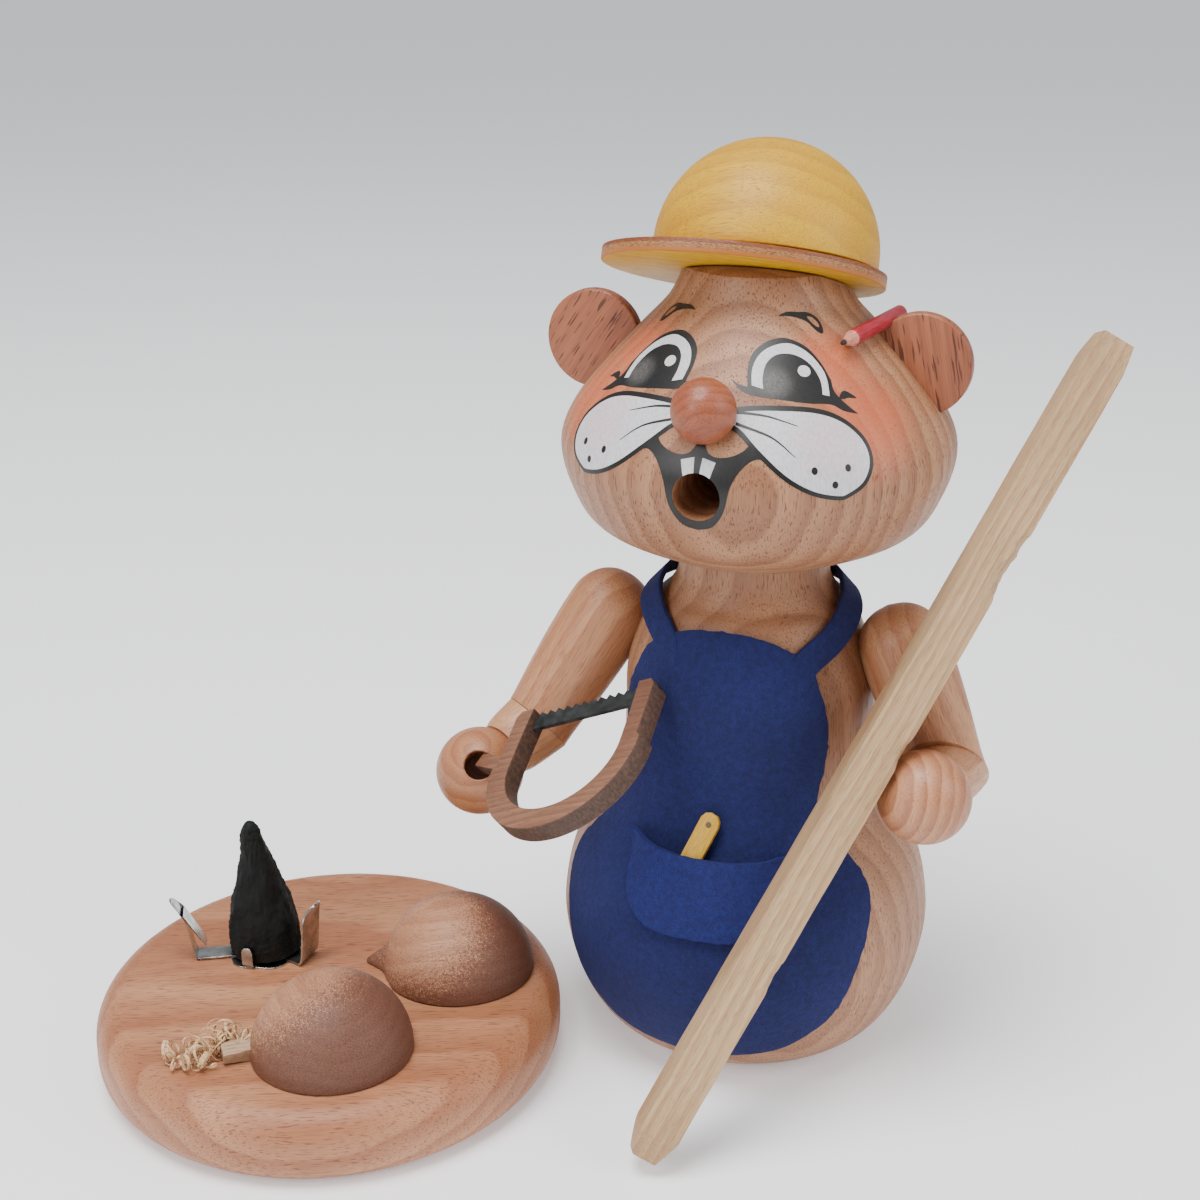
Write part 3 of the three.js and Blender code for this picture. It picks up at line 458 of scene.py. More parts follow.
bmesh.ops.solidify(holder_bm, geom=holder_bm.faces[:], thickness=SHEET)
holder = finish_piece(
    "holder", holder_bm, HOLDER_SPOT, tinplate, "base", ["cone_holder"], sharp=50,
)
soften = holder.modifiers.new("worn_edges", "BEVEL")
soften.width = 0.08 * MM
soften.segments = 2
soften.limit_method = "ANGLE"

tack_bm = bmesh.new()
spin_profile(tack_bm, smooth_line([(0, 1.2), (0.9, 1.15), (1.6, 0.95), (1.8, 0.7)], 4)[:-1] + [
    Vector((1.8, 0.7)), Vector((1.7, 0.6)), Vector((0.7, 0.6)), Vector((0.7, -5.5)), Vector((0, -7)),
], 32)
finish_piece("tack", tack_bm, HOLDER_SPOT, tinplate, "base", ["holder_tack"])

# ------------------------------------------------------------------ incense cone
# Charcoal, wood flour and gum pressed in a mould and dried: black, matt and a little crooked.
# It stands loose between the prongs.
CONE_HIGH = 28.7


def pressed_incense():
    made = bpy.data.materials.new("pressed_incense")
    made.use_nodes = True
    tree = made.node_tree
    shader = tree.nodes["Principled BSDF"]
    spot = add_node(tree, "ShaderNodeTexCoord").outputs["Object"]
    grit = cloud(tree, spot, (2600, 2600, 2600), 3.0, 0.7)
    broad = cloud(tree, spot, (300, 300, 120), 2.0)
    tree.links.new(
        mixed(tree, ramp(tree, arithmetic(tree, "MULTIPLY", grit, broad), 0.15, 0.4),
              pigment(16, 19, 18), pigment(40, 45, 41)), shader.inputs["Base Color"]
    )
    tree.links.new(ramp(tree, broad, 0.3, 0.7, 0.55, 0.8), shader.inputs["Roughness"])
    shader.inputs["Specular IOR Level"].default_value = 0.25
    bump = add_node(tree, "ShaderNodeBump", {"Height": grit, "Strength": 0.8, "Distance": 0.16 * MM})
    tree.links.new(bump.outputs[0], shader.inputs["Normal"])
    return made


cone_bm = bmesh.new()
cone_line = smooth_line([
    (3.0, 0.0), (6.7, 0.0), (7.15, 1.4), (7.1, 4.5), (6.35, 9.2), (4.75, 15.2), (3.2, 21), (2.3, 25), (1.75, 27),
    (1.0, 28.3), (0, CONE_HIGH),
], 10)
spin_profile(cone_bm, [(0, 1.6), (2.8, 1.6), *cone_line], 120)
for v in cone_bm.verts:
    high = max(v.co.z, 0) / CONE_HIGH
    rough_skin = noise.noise(Vector((v.co.x * 0.45, v.co.y * 0.45, v.co.z * 0.22)))
    grains = noise.noise(v.co * 1.7)
    out = Vector((v.co.x, v.co.y, 0)).normalized() if v.co.xy.length > 0.01 else Vector()
    if v.co.xy.length > 3 or v.co.z > 2:
        v.co += out * (0.55 * rough_skin + 0.3 * grains) * min(1, v.co.xy.length / 2)
    v.co += Vector((-1.7 * high ** 1.5, 0.3 * high, 0))
finish_piece(
    "cone", cone_bm, shift(*(HOLDER_SPOT.to_translation() + Vector((0.1, 0, 0.7)))), pressed_incense(),
    "cone", ["incense_cone"], sharp=60,
)

# ------------------------------------------------------------------ shavings and chip
# Two tangles of curled plane shavings and a small split chip, glued beside the right foot.
# The wood is pale and bare, torn into thin ribbons.
TANGLES = (
    ("curls_front", "shaving_curl_1", (-21.0, -29.4), 6.0, 44, 11),
    ("curls_back", "shaving_curl_2", (-16.4, -25.6), 5.0, 34, 23),
)


def shaved_pine():
    made = wood(
        "shaved_wood", Matrix.Identity(4), pigment(250, 222, 184), pigment(238, 200, 156),
        pigment(205, 160, 110), pigment(196, 148, 100), rings=0.5, ring_width=0.8, flecks=0.25,
        rough=0.7, coat=0.0, seed=9, relief=0.5,
    )
    made.node_tree.nodes["Principled BSDF"].inputs["Subsurface Weight"].default_value = 0.08
    made.node_tree.nodes["Principled BSDF"].inputs["Subsurface Radius"].default_value = (0.001, 0.0006, 0.0003)
    return made


curl_wood = shaved_pine()


def curl(bm, centre, radius, heading, lean, turns, width, start):
    """One curled ribbon: a short spiral of thin strip."""
    place = shift(*centre) @ turn_about("Z", heading) @ turn_about("X", lean)
    steps = int(16 * turns)
    rows = []
    for i in range(steps + 1):
        along = i / steps
        angle = math.radians(start) + 2 * math.pi * turns * along
        reach = radius * (0.35 + 0.65 * along)
        narrow = width * (0.35 + 0.65 * math.sin(math.pi * (0.12 + 0.8 * along)))
        middle = Vector((reach * math.cos(angle), reach * math.sin(angle), radius * 0.5 * (along - 0.5)))
        rows.append([bm.verts.new(place @ (middle + Vector((0, 0, s * narrow / 2)))) for s in (-1, 1)])
    faces = [bm.faces.new((a[0], a[1], b[1], b[0])) for a, b in zip(rows, rows[1:])]
    bmesh.ops.solidify(bm, geom=faces, thickness=0.14)


for piece_name, node, (x, y), spread, count, seed in TANGLES:
    tangle_bm = bmesh.new()
    luck = random.Random(seed)
    for i in range(count):
        chance = [luck.random() for _ in range(8)]
        radius = 1.0 + 1.9 * chance[0]
        around = 2 * math.pi * chance[1]
        away = spread * chance[2] ** 0.7
        centre = (
            x + away * math.cos(around), y + 0.8 * away * math.sin(around),
            15.5 + radius * 0.75 + 1.6 * chance[3] * (1 - away / spread),
        )
        curl(
            tangle_bm, centre, radius, 360 * chance[4], 40 + 90 * chance[5], 0.6 + 1.0 * chance[6],
            0.25 + 0.6 * chance[7] ** 2, 360 * chance[2],
        )
    for v in tangle_bm.verts:
        v.co.z = max(v.co.z, 15.2)
    finish_piece(piece_name, tangle_bm, Matrix.Identity(4), curl_wood, "base", [node], sharp=70)

chip_bm = bmesh.new()
bmesh.ops.create_cube(chip_bm, size=1)
bmesh.ops.scale(chip_bm, vec=(6.2, 3.6, 2.8), verts=chip_bm.verts)
bmesh.ops.subdivide_edges(chip_bm, edges=chip_bm.edges[:], cuts=5, use_grid_fill=True)
for v in chip_bm.verts:
    torn = noise.noise(Vector((v.co.y * 2.2, v.co.z * 2.2, 4)))
    if v.co.x > 2.9:
        v.co.x += 0.9 * torn
    v.co.z *= 0.72 + 0.28 * (v.co.x + 3.1) / 6.2
    v.co += Vector((0, 0.2 * noise.noise(v.co * 0.9), 0.15 * noise.noise(v.co * 1.3 + Vector((5, 0, 0)))))
chip_wood = wood(
    "chip_wood", shift(-13.4, -31, 0) @ turn_about("Z", 14) @ turn_about("Y", 90),
    pigment(214, 188, 160), pigment(196, 166, 138), pigment(186, 150, 116), pigment(160, 120, 90),
    ring_width=0.9, rings=0.5, flecks=0.4, rough=0.7, coat=0.0, seed=12,
)
finish_piece(
    "chip", chip_bm, shift(-13.4, -28.9, 16.9) @ turn_about("Z", 20) @ turn_about("X", 12), chip_wood,
    "base", ["wood_chip"], sharp=25,
)

# ------------------------------------------------------------------ body
# A turned pear of beech, bored from below as the smoke chamber, with a channel up through the neck.
# It stands beside the plate, turned a little to the right, on the sawn ring round the bore.
torso_low, torso_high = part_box("torso")
figure_axis = (torso_low + torso_high) / 2 / MM
figure_place = shift(figure_axis.x, figure_axis.y, 0) @ turn_about("Z", -20)
NECK_TOP = 102.8
BODY_LINE = smooth_line([
    (22.8, 0), (27.2, 2.5), (30.8, 5.9), (34.2, 12.0), (36.5, 19.9), (37.1, 28), (34.75, 39.1), (28.4, 49.9),
    (25.3, 58), (24.8, 68.5), (24.3, 79), (20.15, 90.2), (16.7, 94), (15, 97), (14.6, 100),
], 8)

beech = {
    "pale": pigment(208, 164, 130), "deep": pigment(192, 146, 112), "ring": pigment(160, 110, 78),
    "fleck": pigment(134, 86, 60),
}
torso_bm = bmesh.new()
spin_profile(torso_bm, [
    *BODY_LINE, (14.6, 102.5), (10, 102.5), (10, 109.5), (9.6, 109.8), (5, 109.8), (5, 69.4),
    (18.8, 60), (18.8, 0.3), (19.1, 0), (22.8, 0),
], 160)
body_beech = wood(
    "body_beech", figure_place @ turn_about("Z", 24) @ turn_about("X", 2), pith=(10, -68, 30), ring_width=5.0,
    rings=0.55, flecks=0.62, seed=21, **beech,
)
finish_piece("body_turned", torso_bm, figure_place, body_beech, "figure", ["torso"])

# ------------------------------------------------------------------ arms
# Each arm is a turned taper cut on a mitre at the elbow, turned round and glued, so its bend shows as a fine line.
# It is dowelled to the shoulder, and the hand is a ball dowelled to its end.
SHOULDER = (30, 0, 85)
ELBOWS = {"right": (-42.6, -8.3, 61.8), "left": (40.8, -4.7, 62.8)}
HANDS = {"right": (-49.9, -21.5, 55.5), "left": (39.4, -21.1, 64.2)}
HAND = 8.8


def pointing(start, direction):
    """A placing matrix whose Z axis points along a direction."""
    return shift(*start) @ Vector(direction).to_track_quat("Z", "Y").to_matrix().to_4x4()


for side, name in ((-1, "right"), (1, "left")):
    shoulder = Vector((side * SHOULDER[0], SHOULDER[1], SHOULDER[2]))
    elbow, hand = Vector(ELBOWS[name]), Vector(HANDS[name])
    down, out = (elbow - shoulder), (hand - elbow)
    mitre = (down.normalized() + out.normalized()).normalized()
    upper_place = pointing(shoulder, down)
    upper_bm = bmesh.new()
    reach = down.length
    upper_line = smooth_line([
        (0, -8.6), (3.4, -7.9), (6.2, -6.0), (8.1, -2.8), (8.6, 1), (8.55, reach * 0.3), (8.1, reach * 0.6),
        (7.5, reach * 0.86), (7.3, reach), (7.25, reach + 10),
    ], 6)
    spin_profile(upper_bm, [*upper_line, (0, reach + 10)], 80)
    bmesh.ops.transform(upper_bm, matrix=upper_place, verts=upper_bm.verts)
    saw_off(upper_bm, elbow - mitre * 0.02, mitre)
    upper_wood = wood(
        f"upper_arm_beech_{name}", figure_place @ upper_place @ turn_about("Z", 40 * side), pith=(34, 12, 0),
        ring_width=3.6, rings=0.5, flecks=0.35, seed=31 + side,
        pale=pigment(220, 172, 134), deep=pigment(206, 154, 116), ring=pigment(184, 120, 84),
        fleck=pigment(158, 98, 68), rough=0.46,
    )
    finish_piece(
        f"upper_arm_{name}_turned", upper_bm, figure_place, upper_wood, "figure", [f"upper_arm_{name}"],
        sharp=30,
    )
    lower_place = pointing(elbow, out)
    lower_bm = bmesh.new()
    reach = out.length - HAND * 0.8
    spin_profile(lower_bm, [
        (0, -9), *smooth_line([(7.4, -9), (7.35, -2), (7.1, 2), (6.6, reach * 0.75), (5.9, reach)], 6), (0, reach),
    ], 80)
    bmesh.ops.transform(lower_bm, matrix=lower_place, verts=lower_bm.verts)
    saw_off(lower_bm, elbow + mitre * 0.02, -mitre)
    lower_wood = wood(
        f"forearm_beech_{name}", figure_place @ lower_place @ turn_about("Z", 70 * side), pith=(40, 0, 0),
        ring_width=3.2, rings=0.45, flecks=0.35, seed=41 + side,
        pale=pigment(222, 176, 138), deep=pigment(208, 158, 120), ring=pigment(188, 126, 90),
        fleck=pigment(160, 102, 72), rough=0.46,
    )
    finish_piece(
        f"forearm_{name}_turned", lower_bm, figure_place, lower_wood, "figure", [f"forearm_{name}"],
        sharp=30,
    )

# The right hand is bored for the saw's tab; the left is plain, with the plank glued to its side.
GRIP = Vector((0.318, -0.786, 0.530))  # the way the bore opens
right_bm = bmesh.new()
mouth_edge = math.degrees(math.asin(2.9 / HAND))
ball_line = [
    (HAND * math.sin(math.radians(a)), HAND * math.cos(math.radians(a)))
    for a in [mouth_edge + 1.5, *range(24, 180, 4)]
]
spin_profile(right_bm, [(0, -1.2), (2.9, -1.2), (2.9, HAND - 0.7), *ball_line, (0, -HAND)], 80)
right_hand_wood = wood(
    "hand_beech_right", figure_place @ shift(*HANDS["right"]) @ turn_about("X", 60), pith=(0, 3, 0), ring_width=2.6,
    rings=0.55, flecks=0.3, seed=51, rough=0.4,
    pale=pigment(214, 162, 124), deep=pigment(198, 144, 106), ring=pigment(170, 108, 76),
    fleck=pigment(150, 92, 62),
)
finish_piece(
    "hand_right_turned", right_bm, figure_place @ pointing(HANDS["right"], GRIP), right_hand_wood,
    "figure", ["hand_right"], sharp=45,
)
left_bm = bmesh.new()
bmesh.ops.create_uvsphere(left_bm, u_segments=80, v_segments=40, radius=HAND)
left_hand_wood = wood(
    "hand_beech_left", figure_place @ shift(*HANDS["left"]) @ turn_about("Y", 14), pith=(-40, -30, 0), ring_width=2.4,
    rings=0.7, flecks=0.3, seed=55, rough=0.4,
    pale=pigment(222, 172, 136), deep=pigment(206, 152, 116), ring=pigment(176, 116, 84),
    fleck=pigment(156, 98, 70),
)
finish_piece(
    "hand_left_turned", left_bm, figure_place @ shift(*HANDS["left"]), left_hand_wood, "figure", ["hand_left"],
)

# The dowels that hold shoulders, wrists and hat are hidden in their bores and keep their plain shape.
dowel_wood = wood(
    "dowel_beech", figure_place, rings=0.3, flecks=0.5, seed=61, coat=0.0, rough=0.6, **beech,
)
for node in (
    "shoulder_dowel_right", "shoulder_dowel_left", "wrist_dowel_right", "wrist_dowel_left", "hat_dowel",
):
    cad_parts[node].data.materials.clear()
    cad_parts[node].data.materials.append(dowel_wood)

# ------------------------------------------------------------------ fretsaw
# The bow is laser-cut from 4 mm board, so its faces are light brown and its cut edges are burnt dark.
# The dark grey blade, with its teeth up, is pushed into a notch across both ends.
SAW_LONG = 37.0
SAW_DEEP = 29.6
SAW_BAND = 4.6
SAW_THICK = 4.3
SAW_TOP = 2.3
saw_place = figure_place @ shift(-42, -20.4, 65.4) @ turn_about("Z", -13) @ turn_about("Y", -25) @ turn_about("X", 31)


def bow_line(inset, top):
    """The bow's outline in its own plane, from one upright's top to the other's."""
    half = SAW_LONG / 2
    width, deep, upright = half - inset, SAW_DEEP - inset, SAW_DEEP * 0.42
    line = []
    for angle in range(180, 361, 4):
        line.append(Vector((
            half + width * math.cos(math.radians(angle)),
            -upright + (deep - upright) * math.sin(math.radians(angle)), 0,
        )))
    if inset:
        tops = [Vector((inset + 0.1, -6, 0)), Vector((inset + 0.5, top, 0))]
    else:
        tops = [Vector((x, y, 0)) for x, y in ((0, -11.9), (0.9, -11.3), (1.0, top - 1.5), (2.1, top))]
    return [*reversed(tops), *line, *(Vector((SAW_LONG - p.x, p.y, 0)) for p in tops)]


def slab(bm, outline, thick, edge=0.0):
    """A closed outline in the XY plane as a slab about that plane, its rims bevelled."""
    verts = [bm.verts.new(p) for p in outline]
    face = bm.faces.new(verts)
    made = bmesh.ops.extrude_face_region(bm, geom=[face])["geom"]
    bmesh.ops.translate(bm, vec=(0, 0, thick), verts=[v for v in made if isinstance(v, bmesh.types.BMVert)])
    bmesh.ops.translate(bm, vec=(0, 0, -thick / 2), verts=bm.verts)
    bmesh.ops.recalc_face_normals(bm, faces=bm.faces)
    if edge:
        rims = [e for e in bm.edges if abs(e.verts[0].co.z - e.verts[1].co.z) < thick / 3]
        bmesh.ops.bevel(
            bm, geom=rims, offset=edge, segments=2, profile=0.5, affect="EDGES", material=-1, clamp_overlap=True,
        )


def burnt_board():
    made = wood(
        "burnt_board", saw_place @ turn_about("Y", 90), pigment(172, 130, 104), pigment(150, 108, 84),
        pigment(126, 86, 64), pigment(96, 64, 48), ring_width=1.6, rings=0.5, flecks=0.4, fleck_size=0.7,
        seed=71, rough=0.62, coat=0.0,
    )
    tree = made.node_tree
    shader = tree.nodes["Principled BSDF"]
    bare = shader.inputs["Base Color"].links[0].from_socket
    cut = add_node(tree, "ShaderNodeAttribute", attribute_name="cut_edge").outputs["Fac"]
    spot = tree.nodes["Mapping"].outputs[0]
    soot = cloud(tree, spot, (1.2, 1.2, 3.5), 3.0, 0.6)
    dark = mixed(tree, ramp(tree, soot, 0.35, 0.7), pigment(88, 66, 54), pigment(122, 92, 74))
    tree.links.new(mixed(tree, ramp(tree, cut, 0.2, 0.9), bare, dark), shader.inputs["Base Color"])
    return made


bow_bm = bmesh.new()
outer = bow_line(0, SAW_TOP)
inner = bow_line(SAW_BAND, SAW_TOP)
slab(bow_bm, [*outer, *reversed(inner)], SAW_THICK, 0.25)
tab_bm = bmesh.new()
bmesh.ops.create_cube(tab_bm, size=1)
bmesh.ops.scale(tab_bm, vec=(10.5, 3.2, 3.2), verts=tab_bm.verts)
bmesh.ops.bevel(
    tab_bm, geom=tab_bm.edges[:], offset=0.3, segments=2, profile=0.5, affect="EDGES", material=-1,
)
bmesh.ops.transform(
    tab_bm, matrix=shift(SAW_BAND / 2, -10.8, 0) @ turn_about("Z", -21) @ shift(-3.6, 0, 0), verts=tab_bm.verts,
)
tab_mesh = bpy.data.meshes.new("saw_tab")
tab_bm.to_mesh(tab_mesh)
tab_bm.free()
bow_bm.from_mesh(tab_mesh)
bpy.data.meshes.remove(tab_mesh)
bow = finish_piece(
    "saw_bow", bow_bm, saw_place, burnt_board(), "figure", ["saw_frame"], sharp=30,
)
edge_mask = bow.data.attributes.new("cut_edge", "FLOAT", "FACE")
flat_way = saw_place.to_3x3() @ Vector((0, 0, 1))
edge_mask.data.foreach_set("value", [1 - min(1, abs(f.normal.dot(flat_way))) for f in bow.data.polygons])

blade_bm = bmesh.new()
teeth = 16
pitch = (SAW_LONG - 2.2) / teeth
blade_line = [Vector((1.1, -1.7, 0)), Vector((SAW_LONG - 1.1, -1.7, 0))]
for i in range(teeth, 0, -1):
    blade_line.append(Vector((1.1 + i * pitch, 1.5, 0)))
    blade_line.append(Vector((1.1 + (i - 0.8) * pitch, 2.5, 0)))
blade_line.append(Vector((1.1, 1.5, 0)))
slab(blade_bm, blade_line, 0.8)
steel = bpy.data.materials.new("blade_steel")
steel.use_nodes = True
steel_tree = steel.node_tree
steel_spot = add_node(steel_tree, "ShaderNodeTexCoord").outputs["Object"]
steel_cloud = cloud(steel_tree, steel_spot, (500, 500, 500), 3.0)
steel_tree.links.new(
    mixed(steel_tree, ramp(steel_tree, steel_cloud, 0.3, 0.7), pigment(62, 66, 66), pigment(92, 95, 94)),
    steel_tree.nodes["Principled BSDF"].inputs["Base Color"],
)
steel_tree.links.new(
    ramp(steel_tree, steel_cloud, 0.3, 0.7, 0.35, 0.55), steel_tree.nodes["Principled BSDF"].inputs["Roughness"]
)
steel_tree.nodes["Principled BSDF"].inputs["Metallic"].default_value = 0.5
finish_piece("toothed_blade", blade_bm, saw_place, steel, "figure", ["saw_blade"], sharp=20)

# ------------------------------------------------------------------ plank
# A square stick of pale wood, planed, with both ends and one long edge gnawed by the beaver.
# It is glued to the side of the left hand and its foot stands on the table.
PLANK_SIDE = 7.6
PLANK_LONG = 172.5
plank_foot = Vector((-1.2, -62.1, 3.4))
plank_past = Vector(HANDS["left"]) + Vector((-10.2, -4.7, 7.5)).normalized() * 12.9
plank_place = figure_place @ pointing(plank_foot, plank_past - plank_foot)


def aimed(start, direction, roll):
    """A placing matrix whose Z axis points along a direction by the shortest turn, rolled about it first."""
    turn = Vector((0, 0, 1)).rotation_difference(Vector(direction).normalized())
    return shift(*start) @ turn.to_matrix().to_4x4() @ turn_about("Z", roll)


plank_place = figure_place @ aimed(plank_foot, plank_past - plank_foot, 20)
plank_bm = bmesh.new()
bmesh.ops.create_cube(plank_bm, size=1)
bmesh.ops.scale(plank_bm, vec=(PLANK_SIDE, PLANK_SIDE, PLANK_LONG), verts=plank_bm.verts)
bmesh.ops.translate(plank_bm, vec=(0, 0, PLANK_LONG / 2), verts=plank_bm.verts)
long_edges = [e for e in plank_bm.edges if abs(e.verts[0].co.z - e.verts[1].co.z) > 1]
bmesh.ops.subdivide_edges(plank_bm, edges=long_edges, cuts=230, use_grid_fill=True)
short_edges = [e for e in plank_bm.edges if abs(e.verts[0].co.z - e.verts[1].co.z) < 0.01]
bmesh.ops.subdivide_edges(plank_bm, edges=short_edges, cuts=9, use_grid_fill=True)
BITES = ((41, 3.2, 0.5), (88, 3.2, 0.8), (125, 5, 1.3), (131, 2.6, 0.9))
half = PLANK_SIDE / 2
outward = plank_place.to_3x3().inverted() @ Vector((1, -0.2, 0))
chewed = Vector((math.copysign(1, outward.x), math.copysign(1, outward.y)))
for v in plank_bm.verts:
    z = v.co.z
    corner = (v.co.x * chewed.x + v.co.y * chewed.y) / (2 * half)  # 1 at the gnawed edge
    deep = 0.0
    for at, wide, bite in BITES:
        deep = max(deep, bite * max(0, 1 - ((z - at) / wide) ** 2))
    if corner > 0.3 and deep > 0:
        torn = 1 + 0.25 * noise.noise(Vector((z * 1.3, v.co.x, v.co.y)))
        push = max(0, (corner - 1) * half + deep * torn)
        v.co.x -= chewed.x * push
        v.co.y -= chewed.y * 0.7 * push
    for end, taper in ((z, 0.4), (PLANK_LONG - z, 0.2)):
        near = max(0, 1 - end / (5.5 + 1.4 * noise.noise(Vector((v.co.x, v.co.y, 7)))))
        v.co.xy *= 1 - taper * near ** 1.3
    v.co.x += 0.08 * noise.noise(Vector((v.co.y, z * 0.1, 2)))
plank_wood = wood(
    "plank_wood", plank_place @ turn_about("Z", 18), pigment(220, 192, 154), pigment(204, 172, 134),
    pigment(176, 128, 92), pigment(170, 120, 88), pith=(60, -20, 86), ring_width=2.1, wander=4.0, rings=0.42, flecks=0.3,
    fleck_size=0.7, seed=81, rough=0.62, coat=0.0, relief=0.6,
)
finish_piece("plank_planed", plank_bm, plank_place, plank_wood, "figure", ["plank"], sharp=28)

# ------------------------------------------------------------------ apron
# One piece of dark blue pressed felt, glued to the belly, with a strap of the same piece that goes round the neck.
# The edge is cut by hand and a little ragged, and stray fibres stand on the face.
APRON_OFF = 0.35
FELT_THICK = 1.1


def radius_at(line, height):
    """The radius of a turned line at a height."""
    for low, high in zip(line, line[1:]):
        if low.y <= height <= high.y:
            return low.x + (high.x - low.x) * (height - low.y) / max(high.y - low.y, 1e-6)
    return line[0].x if height < line[0].y else line[-1].x


def felt(name, deep, pale):
    made = bpy.data.materials.new(name)
    made.use_nodes = True
    tree = made.node_tree
    shader = tree.nodes["Principled BSDF"]
    spot = add_node(tree, "ShaderNodeTexCoord").outputs["Object"]
    wander = add_node(
        tree, "ShaderNodeVectorMath",
        {0: spot, 1: stretched(tree, add_node(
            tree, "ShaderNodeTexNoise", {"Vector": spot, "Scale": 900.0, "Detail": 2.0}
        ).outputs[1], (0.0012, 0.0012, 0.0012))}, operation="ADD",
    ).outputs[0]
    fibres = cloud(tree, wander, (5200, 5200, 2600), 4.0, 0.7)
    matted = cloud(tree, spot, (900, 900, 900), 3.0, 0.6)
    broad = cloud(tree, spot, (60, 60, 60), 2.0)
    colour = mixed(tree, ramp(tree, matted, 0.2, 0.9), deep, pale)
    light = ramp(tree, fibres, 0.3, 0.75, 0.6, 1.45)
    colour = mixed(tree, 1.0, colour, light, "MULTIPLY")
    colour = mixed(tree, 1.0, colour, ramp(tree, broad, 0.3, 0.7, 0.92, 1.06), "MULTIPLY")
    tree.links.new(colour, shader.inputs["Base Color"])
    shader.inputs["Roughness"].default_value = 0.95
    shader.inputs["Sheen Weight"].default_value = 0.25
    shader.inputs["Sheen Roughness"].default_value = 0.5
    shader.inputs["Sheen Tint"].default_value = pale
    height = arithmetic(tree, "ADD", fibres, arithmetic(tree, "MULTIPLY", matted, 1.5))
    bump = add_node(tree, "ShaderNodeBump", {"Height": height, "Strength": 0.7, "Distance": 0.25 * MM})
    tree.links.new(bump.outputs[0], shader.inputs["Normal"])
    return made


def filled(outline, longest):
    """A flat mesh inside a closed outline in the XY plane, with no edge much longer than asked."""
    bm = bmesh.new()
    verts = [bm.verts.new(p) for p in outline]
    bm.faces.new(verts)
    low = [min(p[k] for p in outline) for k in (0, 1)]
    high = [max(p[k] for p in outline) for k in (0, 1)]
    for k in (0, 1):
        cuts = int((high[k] - low[k]) / longest)
        for i in range(1, cuts):
            point, normal = Vector(), Vector()
            point[k], normal[k] = low[k] + (high[k] - low[k]) * i / cuts, 1
            bmesh.ops.bisect_plane(bm, geom=[*bm.verts, *bm.edges, *bm.faces], plane_co=point, plane_no=normal)
    bmesh.ops.triangulate(bm, faces=[f for f in bm.faces if len(f.verts) > 4])
    return bm


right_half = smooth_line([
    (0, 8.5), (8.5, 9.1), (17.1, 11.5), (24.4, 17.1), (28.1, 24), (30.5, 34.5), (29.3, 42.5), (23.8, 50), (19.1, 57),
    (19.6, 65), (20, 72), (19.2, 78), (17.2, 83.5),
], 8)
right_half = right_half[:-1] + smooth_line([(17.2, 83.5), (15.6, 86.2), (12, 88.7), (6.6, 90.9), (0, 91.6)], 6)
apron_line = [(p.x, p.y) for p in right_half] + [(-p.x, p.y) for p in reversed(right_half[1:-1])]
apron_edge = [
    Vector((x, z, 0)) + Vector((0.22 * noise.noise(Vector((x * 0.8, z * 0.8, 1))), 0.22 * noise.noise(Vector((x, z, 5))), 0))
    for x, z in apron_line
]
apron_bm = filled(apron_edge, 1.7)
for v in apron_bm.verts:
    x, z = v.co.x, v.co.y
    around = radius_at(BODY_LINE, z) + APRON_OFF + FELT_THICK
    buckle = 0.25 * noise.noise(Vector((x * 0.09, z * 0.09, 3)))
    angle = math.asin(max(-0.995, min(0.995, x / around)))
    v.co = Vector((around * math.sin(angle), -around * math.cos(angle), z)) * 1.0
    v.co += Vector((math.sin(angle), -math.cos(angle), 0)) * max(-0.2, buckle)
bmesh.ops.recalc_face_normals(apron_bm, faces=apron_bm.faces)
front_face = min(apron_bm.faces, key=lambda f: f.calc_center_median().y)
if front_face.normal.y > 0:
    bmesh.ops.reverse_faces(apron_bm, faces=apron_bm.faces)
felt_blue = felt("felt_blue", pigment(34, 44, 104), pigment(48, 60, 128))
apron = finish_piece("apron_felt", apron_bm, figure_place, felt_blue, "figure", ["apron"], sharp=80)
thick = apron.modifiers.new("felt_thickness", "SOLIDIFY")
thick.thickness = FELT_THICK * MM
thick.offset = -1
round_edge = apron.modifiers.new("soft_edge", "BEVEL")
round_edge.width = 0.3 * MM
round_edge.segments = 2
round_edge.limit_method = "ANGLE"
round_edge.angle_limit = math.radians(50)

# The strap: it leaves the bib at both corners, stands off the shoulders and goes round behind the neck.
STRAP_WIDE = 5.4
BODY_SKIN = [*BODY_LINE, Vector((14.6, 102, 0))]
STRAP_WAY = smooth_line([
    (-27, 83, 0.8), (-31, 87.2, 0.85), (-46, 90.4, 1.5), (-66, 92.6, 2.2), (-90, 94.0, 2.0), (-120, 94.8, 1.2),
    (-150, 95.2, 1.0), (-180, 95.2, 1.0), (-210, 95.2, 1.0), (-238, 94.6, 1.4), (-262, 93.6, 2.2), (-284, 91.6, 2.2),
    (-303, 88.6, 1.6), (-319, 85.4, 0.85), (-326, 81.5, 0.8),
], 9)


def on_body(azimuth, height, lift):
    """A point over the body's skin, counted in degrees round from the front."""
    radius = radius_at(BODY_SKIN, height)
    slope = (radius_at(BODY_SKIN, height + 2) - radius_at(BODY_SKIN, height - 2)) / 4
    out = Vector((1, -slope)).normalized() * lift
    angle = math.radians(azimuth)
    return Vector(((radius + out.x) * math.sin(angle), -(radius + out.x) * math.cos(angle), height + out.y))


